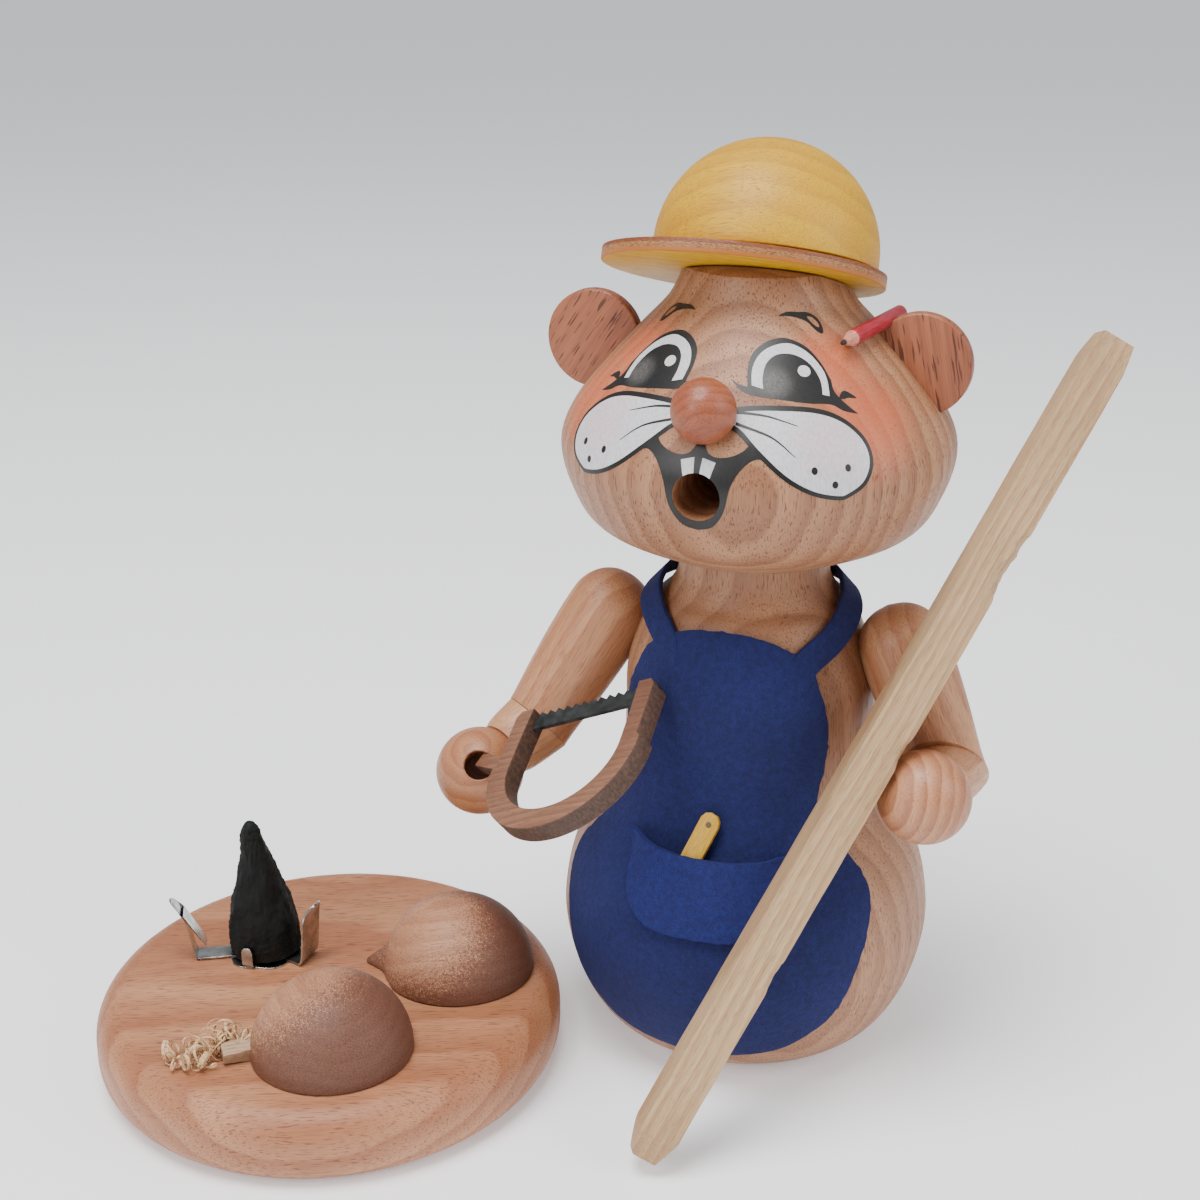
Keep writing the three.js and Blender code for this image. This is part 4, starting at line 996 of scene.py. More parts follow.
strap_middle = [on_body(*p) for p in STRAP_WAY]
strap_bm = bmesh.new()
rows = []
for i, (p, middle) in enumerate(zip(STRAP_WAY, strap_middle)):
    ahead = (strap_middle[min(i + 1, len(strap_middle) - 1)] - strap_middle[max(i - 1, 0)]).normalized()
    out = (on_body(p.x, p.y, 3) - on_body(p.x, p.y, 0)).normalized()
    across = ahead.cross(out).normalized()
    row = []
    for k in (-0.5, -0.25, 0, 0.25, 0.5):
        spot = middle + across * STRAP_WIDE * k
        least = radius_at(BODY_SKIN, spot.z) + 0.8
        if spot.xy.length < least:
            spot.xy = spot.xy.normalized() * least
        row.append(strap_bm.verts.new(spot))
    rows.append(row)
for a, b in zip(rows, rows[1:]):
    for k in range(4):
        strap_bm.faces.new((a[k], a[k + 1], b[k + 1], b[k]))
strap = finish_piece("apron_strap", strap_bm, figure_place, felt_blue, "figure", ["apron"], sharp=80)
strap_thick = strap.modifiers.new("felt_thickness", "SOLIDIFY")
strap_thick.thickness = FELT_THICK * MM
strap_thick.offset = 0
strap_edge = strap.modifiers.new("soft_edge", "BEVEL")
strap_edge.width = 0.3 * MM
strap_edge.segments = 2
strap_edge.limit_method = "ANGLE"
strap_edge.angle_limit = math.radians(50)

# ------------------------------------------------------------------ pocket and folding rule
# The pocket is a brighter blue felt, glued on at its sides and bottom so that its mouth stands open.
# The rule's end is a little yellow slat pushed in behind it.
pocket_half = smooth_line([
    (0, 35.8), (6.5, 35.8), (10.8, 37.0), (14.0, 40.2), (15.0, 44.4), (15.1, 47.5), (15.4, 50.4),
], 6)
pocket_top = smooth_line([(15.4, 50.4), (7, 50.2), (0, 50.3), (-8, 50.6), (-15.9, 51.7)], 6)
pocket_line = [(p.x, p.y) for p in pocket_half] + [(p.x, p.y) for p in pocket_top[1:]]
pocket_line += [(-p.x, p.y) for p in reversed(pocket_half[1:-1])]
pocket_edge = [
    Vector((x + 0.18 * noise.noise(Vector((x, z, 2))), z + 0.18 * noise.noise(Vector((x, z, 8))), 0))
    for x, z in pocket_line
]
pocket_bm = filled(pocket_edge, 1.2)
for v in pocket_bm.verts:
    x, z = v.co.x, v.co.y
    around = radius_at(BODY_LINE, z) + APRON_OFF + 2 * FELT_THICK + 0.25
    height = max(0, (z - 38) / 13)
    belly = 3.1 * height ** 1.4 * max(0, 1 - (x / 14.6) ** 4)
    flare = 1.4 * max(0, (z - 46) / 5.5) ** 2 * max(0, (-x - 9) / 7) ** 2
    angle = math.asin(max(-0.99, min(0.99, x / around)))
    v.co = Vector((around * math.sin(angle), -around * math.cos(angle), z))
    v.co += Vector((math.sin(angle), -math.cos(angle), 0)) * (belly + flare)
bmesh.ops.recalc_face_normals(pocket_bm, faces=pocket_bm.faces)
front_face = min(pocket_bm.faces, key=lambda f: f.calc_center_median().y)
if front_face.normal.y > 0:
    bmesh.ops.reverse_faces(pocket_bm, faces=pocket_bm.faces)
pocket_felt = felt("pocket_felt", pigment(36, 48, 116), pigment(52, 66, 142))
pocket = finish_piece(
    "pocket_felt", pocket_bm, figure_place, pocket_felt, "figure", ["apron_pocket"], sharp=80,
)
pocket_thick = pocket.modifiers.new("felt_thickness", "SOLIDIFY")
pocket_thick.thickness = FELT_THICK * MM
pocket_thick.offset = -1
pocket_edge_mod = pocket.modifiers.new("soft_edge", "BEVEL")
pocket_edge_mod.width = 0.3 * MM
pocket_edge_mod.segments = 2
pocket_edge_mod.limit_method = "ANGLE"
pocket_edge_mod.angle_limit = math.radians(50)

RULE_TOP = 57.5
rule_out = radius_at(BODY_LINE, RULE_TOP) + 2.75
rule_lean = math.degrees(math.atan2(radius_at(BODY_LINE, 41.8) - radius_at(BODY_LINE, RULE_TOP), RULE_TOP - 41.8))
rule_place = figure_place @ shift(1.3, -rule_out, RULE_TOP) @ turn_about("X", -rule_lean) @ turn_about("Y", 20)
rule_bm = bmesh.new()
rule_outline = [(-2, -12), (2, -12), (2, -1.9), (1.6, -0.8), (0.8, -0.1), (-0.6, 0), (-1.5, -0.5), (-2, -1.5)]
slab(rule_bm, [Vector((x, y, 0)) for x, y in rule_outline], 1.5, 0.2)
bmesh.ops.transform(rule_bm, matrix=turn_about("X", 90), verts=rule_bm.verts)
rule_paint = bpy.data.materials.new("rule_paint")
rule_paint.use_nodes = True
rule_tree = rule_paint.node_tree
rule_spot = add_node(
    rule_tree, "ShaderNodeMapping", {"Scale": (MM, MM, MM)}, vector_type="TEXTURE",
)
rule_tree.links.new(add_node(rule_tree, "ShaderNodeTexCoord").outputs["Object"], rule_spot.inputs["Vector"])
rule_spot.inputs["Location"].default_value = rule_place.to_translation() * MM
rule_spot.inputs["Rotation"].default_value = rule_place.to_euler()
rule_grain = cloud(rule_tree, rule_spot.outputs[0], (4, 4, 0.5), 2.0)
rule_colour = mixed(
    rule_tree, ramp(rule_tree, rule_grain, 0.3, 0.7), pigment(224, 186, 62), pigment(206, 164, 44)
)
rule_dot = add_node(
    rule_tree, "ShaderNodeVectorMath", {0: stretched(rule_tree, rule_spot.outputs[0], (1, 0, 1)), 1: (0.1, 0, -2.3)},
    operation="DISTANCE",
).outputs[1]
rule_colour = mixed(rule_tree, ramp(rule_tree, rule_dot, 0.5, 0.68, 0.85, 0), rule_colour, pigment(70, 50, 34))
rule_tree.links.new(rule_colour, rule_tree.nodes["Principled BSDF"].inputs["Base Color"])
rule_tree.links.new(
    ramp(rule_tree, rule_grain, 0.3, 0.7, 0.4, 0.52), rule_tree.nodes["Principled BSDF"].inputs["Roughness"]
)
finish_piece("rule_slat", rule_bm, rule_place, rule_paint, "figure", ["folding_rule"], sharp=35)

# ------------------------------------------------------------------ head
# A turned onion of beech, hollow, with the mouth bored through to the smoke chamber and the crown sawn aslant for
# the hat. Orange is sprayed on both cheeks; the bare wood shows its arcs and short dark flecks.
HEAD_SEAT = NECK_TOP
HEAD_LINE = smooth_line([
    (18.7, 0), (30.75, 5.59), (35.44, 12.42), (37.5, 20.7), (35.06, 27.86), (28.88, 35.69), (22.5, 42.68),
    (17.25, 48.34), (14.5, 54),
], 12)
MOUTH_RADIUS = 4.4
MOUTH_HEIGHT = 19.5
head_place = figure_place @ shift(0, 0, HEAD_SEAT) @ turn_about("Z", -1.3)
hat_frame = shift(0, 0, 51.4) @ turn_about("Y", -0.5) @ turn_about("X", -20)


def on_head(azimuth, height, lift=0.0):
    """A point on the head's skin, counted in degrees round from the middle of the face."""
    radius = radius_at(HEAD_LINE, height)
    slope = (radius_at(HEAD_LINE, height + 0.4) - radius_at(HEAD_LINE, height - 0.4)) / 0.8
    out = Vector((1, -slope)).normalized() * lift
    angle = math.radians(azimuth)
    return Vector(((radius + out.x) * math.sin(angle), -(radius + out.x) * math.cos(angle), height + out.y))


def bored_mouth(bm):
    """Cuts the mouth's bore through a mesh that stands in the head's frame."""
    scratch = []
    for name in ("blank", "borer"):
        mesh = bpy.data.meshes.new(name)
        scratch.append(bpy.data.objects.new(name, mesh))
        bpy.context.scene.collection.objects.link(scratch[-1])
    bm.to_mesh(scratch[0].data)
    borer = bmesh.new()
    bmesh.ops.create_cone(
        borer, cap_ends=True, segments=64, radius1=MOUTH_RADIUS, radius2=MOUTH_RADIUS, depth=40,
    )
    bmesh.ops.transform(borer, matrix=shift(0, -29, MOUTH_HEIGHT) @ turn_about("X", 90), verts=borer.verts)
    borer.to_mesh(scratch[1].data)
    borer.free()
    cut = scratch[0].modifiers.new("bore", "BOOLEAN")
    cut.operation = "DIFFERENCE"
    cut.solver = "EXACT"
    cut.object = scratch[1]
    bpy.context.view_layer.update()
    done = scratch[0].evaluated_get(bpy.context.evaluated_depsgraph_get())
    bm.clear()
    bm.from_mesh(done.to_mesh())
    done.to_mesh_clear()
    for made in scratch:
        mesh = made.data
        bpy.data.objects.remove(made)
        bpy.data.meshes.remove(mesh)


def spray_and_reflection_mask(tree, centres, spread, thick):
    """A mask of paint spray round some centres, given in the head's frame in mm; it also lays the painted reflection
    on the pupils.
    """
    spot = tree.nodes["head_spot"].outputs[0]
    mask = None
    for centre, reach in centres:
        away = add_node(tree, "ShaderNodeVectorMath", {0: spot, 1: centre}, operation="DISTANCE").outputs[1]
        part = ramp(tree, away, reach * 0.25, reach * spread, thick, 0)
        mask = part if mask is None else arithmetic(tree, "MAXIMUM", mask, part)
    speckle_noise = cloud(tree, spot, (4.5, 4.5, 4.5), 2.0, 0.7)
    return arithmetic(tree, "MULTIPLY", mask, ramp(tree, speckle_noise, 0.3, 0.62, 0.72, 1.08))


def head_spot(tree):
    """Adds the head's own frame, in mm, as a node called head_spot."""
    spot = add_node(tree, "ShaderNodeMapping", {"Scale": (MM, MM, MM)}, vector_type="TEXTURE", name="head_spot")
    tree.links.new(add_node(tree, "ShaderNodeTexCoord").outputs["Object"], spot.inputs["Vector"])
    spot.inputs["Location"].default_value = head_place.to_translation() * MM
    spot.inputs["Rotation"].default_value = head_place.to_euler()


head_bm = bmesh.new()
spin_profile(head_bm, [
    (10.3, 0), (18.2, 0), *HEAD_LINE, (0, 62), (0, 32), (9, 32), (12.5, 29), (12.5, 7.3), (10.3, 7.3), (10.3, 0),
], 160)
saw_off(head_bm, hat_frame @ Vector((0, 0, -0.3)), hat_frame.to_3x3() @ Vector((0, 0, 1)))
bmesh.ops.recalc_face_normals(head_bm, faces=head_bm.faces)
bored_mouth(head_bm)
head_wood = wood(
    "head_beech", head_place @ turn_about("Z", 8) @ turn_about("X", 3), pith=(2, -60, 16), ring_width=4.2,
    rings=0.68, flecks=0.75, seed=91, **beech,
)
head_tree = head_wood.node_tree
head_spot(head_tree)
bare_head = head_tree.nodes["Principled BSDF"].inputs["Base Color"].links[0].from_socket
BLUSH_SPOTS = [(on_head(side * a, h), reach) for side in (-1, 1) for a, h, reach in ((52, 32, 12), (47, 40, 9))]
blush = spray_and_reflection_mask(head_tree, BLUSH_SPOTS, 1.2, 0.6)
head_tree.links.new(
    mixed(head_tree, blush, bare_head, pigment(228, 120, 70)),
    head_tree.nodes["Principled BSDF"].inputs["Base Color"],
)
finish_piece("head_turned", head_bm, head_place, head_wood, "figure", ["head"], sharp=35)

# ------------------------------------------------------------------ painted face
# The face is printed on the turned head in black and white, a thin film that lies on the wood; the black carries a
# painted reflection, a pale grey glow on each pupil.
# Eyes, brows and cheeks are laid out alike on both sides of the middle; only the glints in the eyes are not.
MM_PER_DEGREE = 0.58
EYE = smooth_line([(12, 37.4), (11.5, 40.3), (13.5, 42.6), (19.5, 44.1), (28, 44.6), (37, 43.3), (42, 40.8), (44, 38)], 5)
EYE += smooth_line([(44, 38), (43.8, 36.4), (46.2, 34.6), (49.9, 32.7)], 4)[1:]
EYE += smooth_line([(49.9, 32.7), (45, 33.4), (41, 34.5), (33, 34.9), (23, 35.6), (14.5, 36.1), (9.6, 36.9), (5.6, 38.4)], 5)[1:]
EYE += smooth_line([(5.6, 38.4), (9, 37.7), (12, 37.4)], 3)[1:-1]
EYE_WHITE = smooth_line([
    (13.5, 37.6), (13.4, 40.2), (16.4, 42.3), (22.5, 43.5), (30.5, 43.7), (37.8, 42.2), (41.8, 39.8), (42.3, 37.8),
    (41.4, 35.7),
], 5)
EYE_WHITE += smooth_line([
    (39, 36), (39.6, 38.2), (37.3, 40.5), (31.7, 42), (24.2, 42.2), (19.2, 41), (17.5, 39), (17.7, 37.1),
], 5)
CHEEK = smooth_line([
    (6.5, 33.6), (10, 34.4), (20.5, 34.7), (34.5, 34.2), (43.5, 32.5), (49, 29.3), (50, 25.5), (47, 21.8), (42, 19.8),
    (38.7, 19.4), (31.5, 20.5), (24.3, 23), (16.7, 27), (11, 30.1), (7.5, 31.2), (5.5, 32.2),
], 6, closed=True)
BROW = smooth_line([
    (26.3, 47.9), (31, 48.5), (38, 48.4), (44.5, 48.2), (49.3, 47.2), (50.2, 45.9), (48.8, 44.9), (46, 45.3),
    (42.2, 46.8), (36, 47.6), (30, 47.9),
], 4, closed=True)
BROW_INSIDE = smooth_line([(43, 47.5), (46, 47.35), (48.3, 46.5), (47.9, 45.8), (45.6, 46.3)], 4, closed=True)
FLICK = smooth_line([(44.9, 35.3), (46.8, 36.2), (48.9, 36.1), (51.6, 35), (48.6, 35.2), (46.6, 35.1)], 4, closed=True)
MOUTH = smooth_line([(0, 28.8), (1.4, 28.3), (2.6, 27.2), (5.2, 26.6), (9, 26.9), (12.5, 27.9), (14.5, 29.2)], 4)
MOUTH += smooth_line([(19.5, 26.4), (15.8, 26.6), (12.3, 25.1), (9.4, 22), (7.7, 17.3), (4.5, 14.2), (0, 13.3)], 5)
TOOTH = [Vector((1.2, 26.4)), Vector((5.0, 25.8)), Vector((3.4, 22.4)), Vector((0.6, 22.4))]
WHISKERS = (((8.5, 33.6), (19, 33.1), (28.5, 31.6)), ((9.5, 31.9), (20.3, 30), (27, 26.9)))
DOTS = ((32, 24.7), (41.7, 24.8), (37.6, 22.2))


def oval(centre, across, tall, steps=20):
    """An oval mark on the face, its half sizes in mm, in degrees and heights."""
    turn = [2 * math.pi * i / steps for i in range(steps)]
    per_degree = math.radians(radius_at(HEAD_LINE, centre[1]))
    return [Vector((centre[0] + across / per_degree * math.cos(t), centre[1] + tall * math.sin(t))) for t in turn]


def drawn_in(outline, by):
    """A closed outline moved inwards by a distance in mm."""
    moved = []
    area = sum(a.x * b.y - b.x * a.y for a, b in zip(outline, [*outline[1:], outline[0]]))
    for before, here, after in zip([outline[-1], *outline], outline, [*outline[1:], outline[0]]):
        per_degree = math.radians(radius_at(HEAD_LINE, here.y))
        along = Vector(((after.x - before.x) * per_degree, after.y - before.y)).normalized()
        inward = Vector((-along.y, along.x)) * (1 if area > 0 else -1) * by
        moved.append(Vector((here.x + inward.x / per_degree, here.y + inward.y)))
    return moved


def stroke(points, start, end):
    """A tapering brush line through some points, its half widths in mm."""
    line = smooth_line([(*p, 0) for p in points], 8)
    sides = ([], [])
    for i, here in enumerate(line):
        per_degree = math.radians(radius_at(HEAD_LINE, here.y))
        ahead = line[min(i + 1, len(line) - 1)] - line[max(i - 1, 0)]
        along = Vector((ahead.x * per_degree, ahead.y)).normalized()
        half_width = start + (end - start) * i / (len(line) - 1)
        for sign, side in zip((-1, 1), sides):
            side.append(Vector((here.x - sign * along.y * half_width / per_degree, here.y + sign * along.x * half_width)))
    return [*sides[0], *reversed(sides[1])]


def film(bm, outline, lift, mirror=False):
    """Lays a thin closed patch of paint on the head."""
    flat = [Vector(((-p.x if mirror else p.x) * MM_PER_DEGREE, p.y, 0)) for p in outline]
    patch = filled(flat, 1.3)
    made = bmesh.ops.extrude_face_region(patch, geom=patch.faces[:])["geom"]
    bmesh.ops.translate(patch, vec=(0, 0, 1), verts=[v for v in made if isinstance(v, bmesh.types.BMVert)])
    for v in patch.verts:
        v.co = on_head(v.co.x / MM_PER_DEGREE, v.co.y, lift if v.co.z > 0.5 else -0.12)
    bmesh.ops.recalc_face_normals(patch, faces=patch.faces)
    mesh = bpy.data.meshes.new("patch")
    patch.to_mesh(mesh)
    patch.free()
    bm.from_mesh(mesh)
    bpy.data.meshes.remove(mesh)


def print_ink(name, colour, worn, pupil_reflection=0.0, pink=0.0):
    made = bpy.data.materials.new(name)
    made.use_nodes = True
    tree = made.node_tree
    shader = tree.nodes["Principled BSDF"]
    head_spot(tree)
    spot = tree.nodes["head_spot"].outputs[0]
    lines = cloud(tree, spot, (2.6, 2.6, 0.35), 3.0, 0.6)
    shade = mixed(tree, ramp(tree, lines, 0.35, 0.72), colour, worn)
    # Painted reflection: a pale grey glow on each pupil stands in for the light that the glossy black print catches.
    if pupil_reflection:
        centres = [(on_head(-35, 37.4), 4.2), (on_head(22, 38), 4.2)]
        sheen = spray_and_reflection_mask(tree, centres, 1.0, pupil_reflection)
        shade = mixed(tree, arithmetic(tree, "MULTIPLY", sheen, lines), shade, pigment(190, 186, 182))
    if pink:
        blot = spray_and_reflection_mask(tree, [(on_head(side * 38, 29), 9) for side in (-1, 1)], 1.1, pink)
        shade = mixed(tree, blot, shade, pigment(240, 150, 150))
    tree.links.new(shade, shader.inputs["Base Color"])
    shader.inputs["Roughness"].default_value = 0.42
    bump = add_node(tree, "ShaderNodeBump", {"Height": lines, "Strength": 0.25, "Distance": 0.05 * MM})
    tree.links.new(bump.outputs[0], shader.inputs["Normal"])
    return made


black_bm = bmesh.new()
white_bm = bmesh.new()
ink_bm = bmesh.new()
for mirror in (False, True):
    film(black_bm, EYE, 0.05, mirror)
    film(black_bm, CHEEK, 0.05, mirror)
    film(black_bm, FLICK, 0.05, mirror)
    film(white_bm, EYE_WHITE, 0.09, mirror)
    film(white_bm, drawn_in(CHEEK, 0.8), 0.09, mirror)
    for whisker in WHISKERS:
        film(ink_bm, stroke(whisker, 0.24, 0.04), 0.13, mirror)
    for dot in DOTS:
        film(ink_bm, oval(dot, 0.55, 0.62), 0.13, mirror)
mouth_bm = bmesh.new()
teeth_bm = bmesh.new()
film(mouth_bm, [*MOUTH, *(Vector((-p.x, p.y)) for p in reversed(MOUTH[1:-1]))], 0.08)
for mirror in (False, True):
    film(teeth_bm, TOOTH, 0.12, mirror)
film(white_bm, oval((34, 39.6), 1.15, 0.85), 0.13)
film(white_bm, oval((-23, 39.9), 1.15, 0.85), 0.13)
bored_mouth(mouth_bm)
bored_mouth(teeth_bm)
# The black print gets a painted reflection, a pale grey glow, on each pupil.
ink = print_ink("print_black", pigment(24, 22, 21), pigment(46, 42, 39), pupil_reflection=0.4)
white = print_ink("print_white", pigment(232, 232, 236), pigment(216, 214, 216), pink=0.22)
finish_piece("face_black", black_bm, head_place, ink, "figure", [], sharp=50)
finish_piece("face_white", white_bm, head_place, white, "figure", [], sharp=50)
finish_piece("face_mouth", mouth_bm, head_place, ink, "figure", [], sharp=50)
finish_piece("face_teeth", teeth_bm, head_place, white, "figure", [], sharp=50)
finish_piece("face_marks", ink_bm, head_place, ink, "figure", [], sharp=50)

brow_bm = bmesh.new()
for mirror in (False, True):
    film(brow_bm, BROW, 0.06, mirror)
finish_piece("face_brows", brow_bm, head_place, ink, "figure", [], sharp=50)
brow_wood_bm = bmesh.new()
for mirror in (False, True):
    film(brow_wood_bm, BROW_INSIDE, 0.1, mirror)
finish_piece("face_brow_gaps", brow_wood_bm, head_place, head_wood, "figure", [], sharp=50)

# ------------------------------------------------------------------ nose
# A ball stained reddish brown and lacquered, glued in a dimple, with a pin's mark near the top.
NOSE = 5.8
nose_centre = Vector((0, -(radius_at(HEAD_LINE, 34.2) + 3.6), 34.2))
nose_bm = bmesh.new()
bmesh.ops.create_uvsphere(nose_bm, u_segments=72, v_segments=36, radius=NOSE)
pin = Vector((0.1, -0.72, 0.69)).normalized() * NOSE
for v in nose_bm.verts:
    v.co -= v.co.normalized() * 0.22 * math.exp(-((v.co - pin).length / 0.5) ** 2)
nose_wood = wood(
    "nose_wood", head_place @ shift(*nose_centre) @ turn_about("Y", 55), pigment(196, 126, 90),
    pigment(178, 108, 76), pigment(150, 78, 48), pigment(130, 70, 46), pith=(-14, 8, 0), ring_width=1.6,
    rings=0.45, flecks=0.5, fleck_size=0.55, seed=101, rough=0.44, coat=0.1,
)
finish_piece(
    "nose_ball", nose_bm, head_place @ shift(*nose_centre), nose_wood, "figure", ["nose"],
)

# ------------------------------------------------------------------ ears
# Thin discs stained brown, with their rims lightly rounded, let into slots at the head's sides.
# Their faces show the dark flecks of beech cut on the quarter.
EAR = 9.6
EAR_THICK = 2.8
for side, name, sunk in ((-1, "right", 3.2), (1, "left", 6.9)):
    ear_centre = shift(side * (radius_at(HEAD_LINE, 37.4) + EAR - sunk), 1.6, 37.4)
    ear_bm = bmesh.new()
    bmesh.ops.create_cone(ear_bm, cap_ends=True, segments=96, radius1=EAR, radius2=EAR, depth=EAR_THICK)
    bmesh.ops.bevel(
        ear_bm, geom=[e for e in ear_bm.edges if len(e.link_faces) == 2 and max(len(f.verts) for f in e.link_faces) > 4],
        offset=0.5, segments=4, profile=0.5, affect="EDGES", material=-1,
    )
    bmesh.ops.rotate(ear_bm, cent=(0, 0, 0), matrix=turn_about("X", 90), verts=ear_bm.verts)
    ear_wood = wood(
        f"ear_wood_{name}", head_place @ ear_centre @ turn_about("Y", 35 if side < 0 else -12),
        pigment(190, 126, 90), pigment(172, 108, 76), pigment(150, 90, 60),
        pigment(104, 58, 38), pith=(30, 4, 0), ring_width=2.6, rings=0.35, flecks=0.85,
        fleck_size=1.1 if side < 0 else 1.7, seed=111 + side, rough=0.48, coat=0.1,
    )
    finish_piece(
        f"ear_{name}_disc", ear_bm, head_place @ ear_centre, ear_wood, "figure", [f"ear_{name}"],
    )

# ------------------------------------------------------------------ pencil
# A short carpenter's pencil, turned and sharpened, painted red with bare wood at its tip, glued above the left ear.
PENCIL_ROUND = 1.45
pencil_reach = radius_at(HEAD_LINE, 43.9) + 3.8
pencil_tip = Vector((
    pencil_reach * math.sin(math.radians(50.6)), -pencil_reach * math.cos(math.radians(50.6)), 43.9,
))
pencil_way = Vector((0.224, 0.972, 0.07))
pencil_bm = bmesh.new()
spin_profile(pencil_bm, [
    (0, 0), (0.3, 0.12), (0.42, 0.5), (0.5, 1.0), (PENCIL_ROUND, 4), (PENCIL_ROUND, 23.2), (PENCIL_ROUND - 0.2, 23.5), (0, 23.5),
], 48)
pencil_place = head_place @ pointing(pencil_tip, pencil_way)
pencil_paint = bpy.data.materials.new("pencil_paint")
pencil_paint.use_nodes = True
pencil_tree = pencil_paint.node_tree
pencil_spot = add_node(pencil_tree, "ShaderNodeMapping", {"Scale": (MM, MM, MM)}, vector_type="TEXTURE")
pencil_tree.links.new(add_node(pencil_tree, "ShaderNodeTexCoord").outputs["Object"], pencil_spot.inputs["Vector"])
pencil_spot.inputs["Location"].default_value = pencil_place.to_translation() * MM
pencil_spot.inputs["Rotation"].default_value = pencil_place.to_euler()
pencil_along = add_node(pencil_tree, "ShaderNodeSeparateXYZ", {0: pencil_spot.outputs[0]}).outputs[2]
pencil_streaks = cloud(pencil_tree, pencil_spot.outputs[0], (3, 3, 0.4), 2.0)
pencil_red = mixed(
    pencil_tree, ramp(pencil_tree, pencil_streaks, 0.3, 0.7), pigment(196, 68, 84), pigment(174, 54, 70)
)
pencil_wood = mixed(
    pencil_tree, ramp(pencil_tree, pencil_streaks, 0.3, 0.7), pigment(232, 170, 150), pigment(206, 140, 118)
)
pencil_edge = arithmetic(pencil_tree, "ADD", pencil_along, arithmetic(pencil_tree, "MULTIPLY", pencil_streaks, 0.6))
pencil_colour = mixed(pencil_tree, ramp(pencil_tree, pencil_edge, 4.1, 4.4), pencil_wood, pencil_red)
pencil_colour = mixed(pencil_tree, ramp(pencil_tree, pencil_along, 0.9, 1.3, 1, 0), pencil_colour, pigment(60, 40, 42))
pencil_tree.links.new(pencil_colour, pencil_tree.nodes["Principled BSDF"].inputs["Base Color"])
pencil_tree.links.new(
    ramp(pencil_tree, pencil_edge, 4.1, 4.4, 0.6, 0.33), pencil_tree.nodes["Principled BSDF"].inputs["Roughness"]
)
finish_piece("pencil_stick", pencil_bm, pencil_place, pencil_paint, "figure", ["pencil"])

# ------------------------------------------------------------------ hard hat
# The brim is an oval of three-ply, stained yellow on both faces with its edge left bare; the crown is a turned
# half ball stained yellow, so the grain's arcs still show. Both sit on the sawn crown of the head.
BRIM_WIDE = 53.0
BRIM_DEEP = 43.6
BRIM_THICK = 2.5
hat_place = head_place @ hat_frame
brim_place = hat_place @ turn_about("Z", 20) @ shift(-3.7, 0, 0)
brim_bm = bmesh.new()
bmesh.ops.create_cone(brim_bm, cap_ends=True, segments=144, radius1=1, radius2=1, depth=BRIM_THICK)
bmesh.ops.scale(brim_bm, vec=(BRIM_WIDE / 2, BRIM_DEEP / 2, 1), verts=brim_bm.verts)
bmesh.ops.translate(brim_bm, vec=(0, 0, BRIM_THICK / 2), verts=brim_bm.verts)
bmesh.ops.bevel(
    brim_bm, geom=[e for e in brim_bm.edges if abs(e.verts[0].co.z - e.verts[1].co.z) < 0.01],
    offset=0.25, segments=2, profile=0.5, affect="EDGES", material=-1,
)


def stained_yellow(name, place, **grain):
    return wood(
        name, place, pigment(230, 186, 0), pigment(222, 174, 0), pigment(204, 150, 0),
        pigment(186, 132, 0), rough=0.5, coat=0.0, **grain,
    )


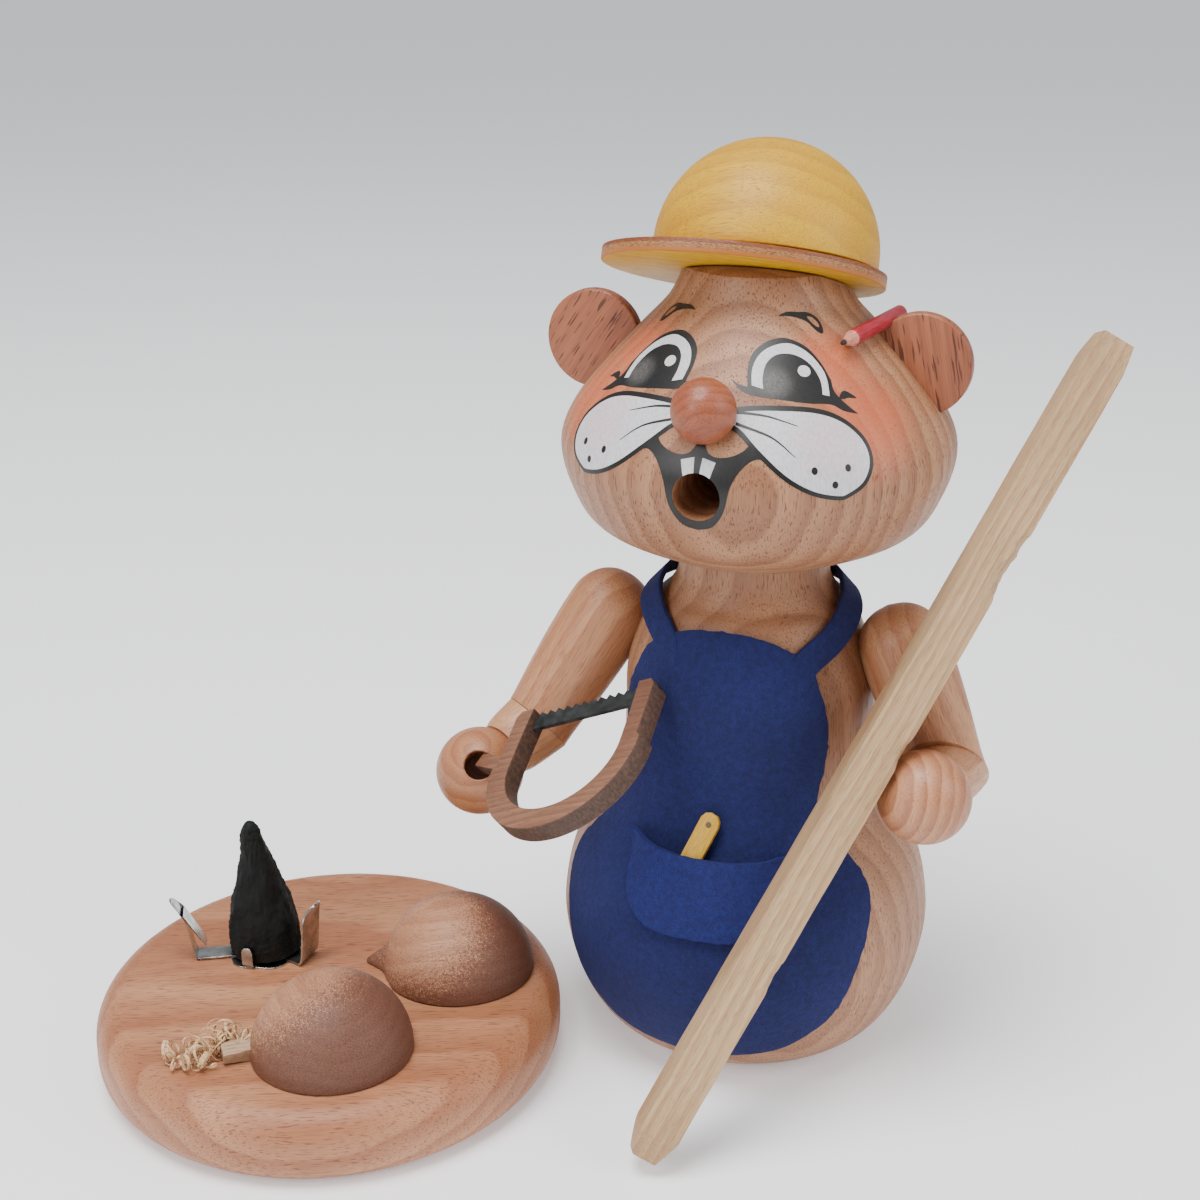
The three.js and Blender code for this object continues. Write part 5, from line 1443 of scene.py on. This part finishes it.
brim_wood = stained_yellow("brim_ply", brim_place @ turn_about("Y", 90), pith=(0, 40, 0), ring_width=4, rings=0.4,
                           flecks=0.5, seed=121)
brim_tree = brim_wood.node_tree
brim_face = brim_tree.nodes["Principled BSDF"].inputs["Base Color"].links[0].from_socket
ply_spot = add_node(brim_tree, "ShaderNodeMapping", {"Scale": (MM, MM, MM)}, vector_type="TEXTURE")
brim_tree.links.new(add_node(brim_tree, "ShaderNodeTexCoord").outputs["Object"], ply_spot.inputs["Vector"])
ply_spot.inputs["Location"].default_value = brim_place.to_translation() * MM
ply_spot.inputs["Rotation"].default_value = brim_place.to_euler()
ply_at = add_node(brim_tree, "ShaderNodeSeparateXYZ", {0: ply_spot.outputs[0]})
ply_round = add_node(
    brim_tree, "ShaderNodeVectorMath",
    {0: stretched(brim_tree, ply_spot.outputs[0], (2 / BRIM_WIDE, 2 / BRIM_DEEP, 0))}, operation="LENGTH",
).outputs[1]
ply_speckle = cloud(brim_tree, ply_spot.outputs[0], (1.6, 1.6, 7), 2.0, 0.6)
ply_high = arithmetic(brim_tree, "ADD", ply_at.outputs[2], arithmetic(brim_tree, "MULTIPLY", ply_speckle, 0.16))
ply_middle = mixed(
    brim_tree, ramp(brim_tree, ply_speckle, 0.42, 0.6), pigment(192, 146, 98), pigment(150, 102, 64)
)
ply_upper = mixed(
    brim_tree, ramp(brim_tree, ply_speckle, 0.42, 0.6), pigment(166, 104, 60), pigment(136, 80, 44)
)
ply_edge = mixed(brim_tree, ramp(brim_tree, ply_high, 1.72, 1.86), ply_middle, ply_upper)
ply_edge = mixed(brim_tree, ramp(brim_tree, ply_high, 0.78, 0.92, 1, 0), ply_edge, pigment(196, 128, 60))
brim_tree.links.new(
    mixed(brim_tree, ramp(brim_tree, ply_round, 0.984, 0.993), brim_face, ply_edge),
    brim_tree.nodes["Principled BSDF"].inputs["Base Color"],
)
finish_piece("brim_ply", brim_bm, brim_place, brim_wood, "figure", ["hat_brim"], sharp=35)

DOME = 21.0
dome_bm = bmesh.new()
dome_line = [(0, 0), (DOME - 0.35, 0), (DOME - 0.1, 0.1), (DOME, 0.35), (DOME, 1.8)]
dome_line += [
    (DOME * math.cos(math.radians(a)), 1.8 + DOME * math.sin(math.radians(a))) for a in range(3, 90, 3)
]
spin_profile(dome_bm, [*dome_line, (0, 22.8)], 144)
dome_wood = stained_yellow(
    "dome_wood", hat_place @ turn_about("Y", 80) @ turn_about("X", 8), pith=(-52, 10, 0), ring_width=5.2, rings=0.4,
    flecks=0.4, seed=131,
)
finish_piece(
    "dome_turned", dome_bm, hat_place @ shift(0, 0, BRIM_THICK + 0.3), dome_wood, "figure", ["hat_dome"],
)
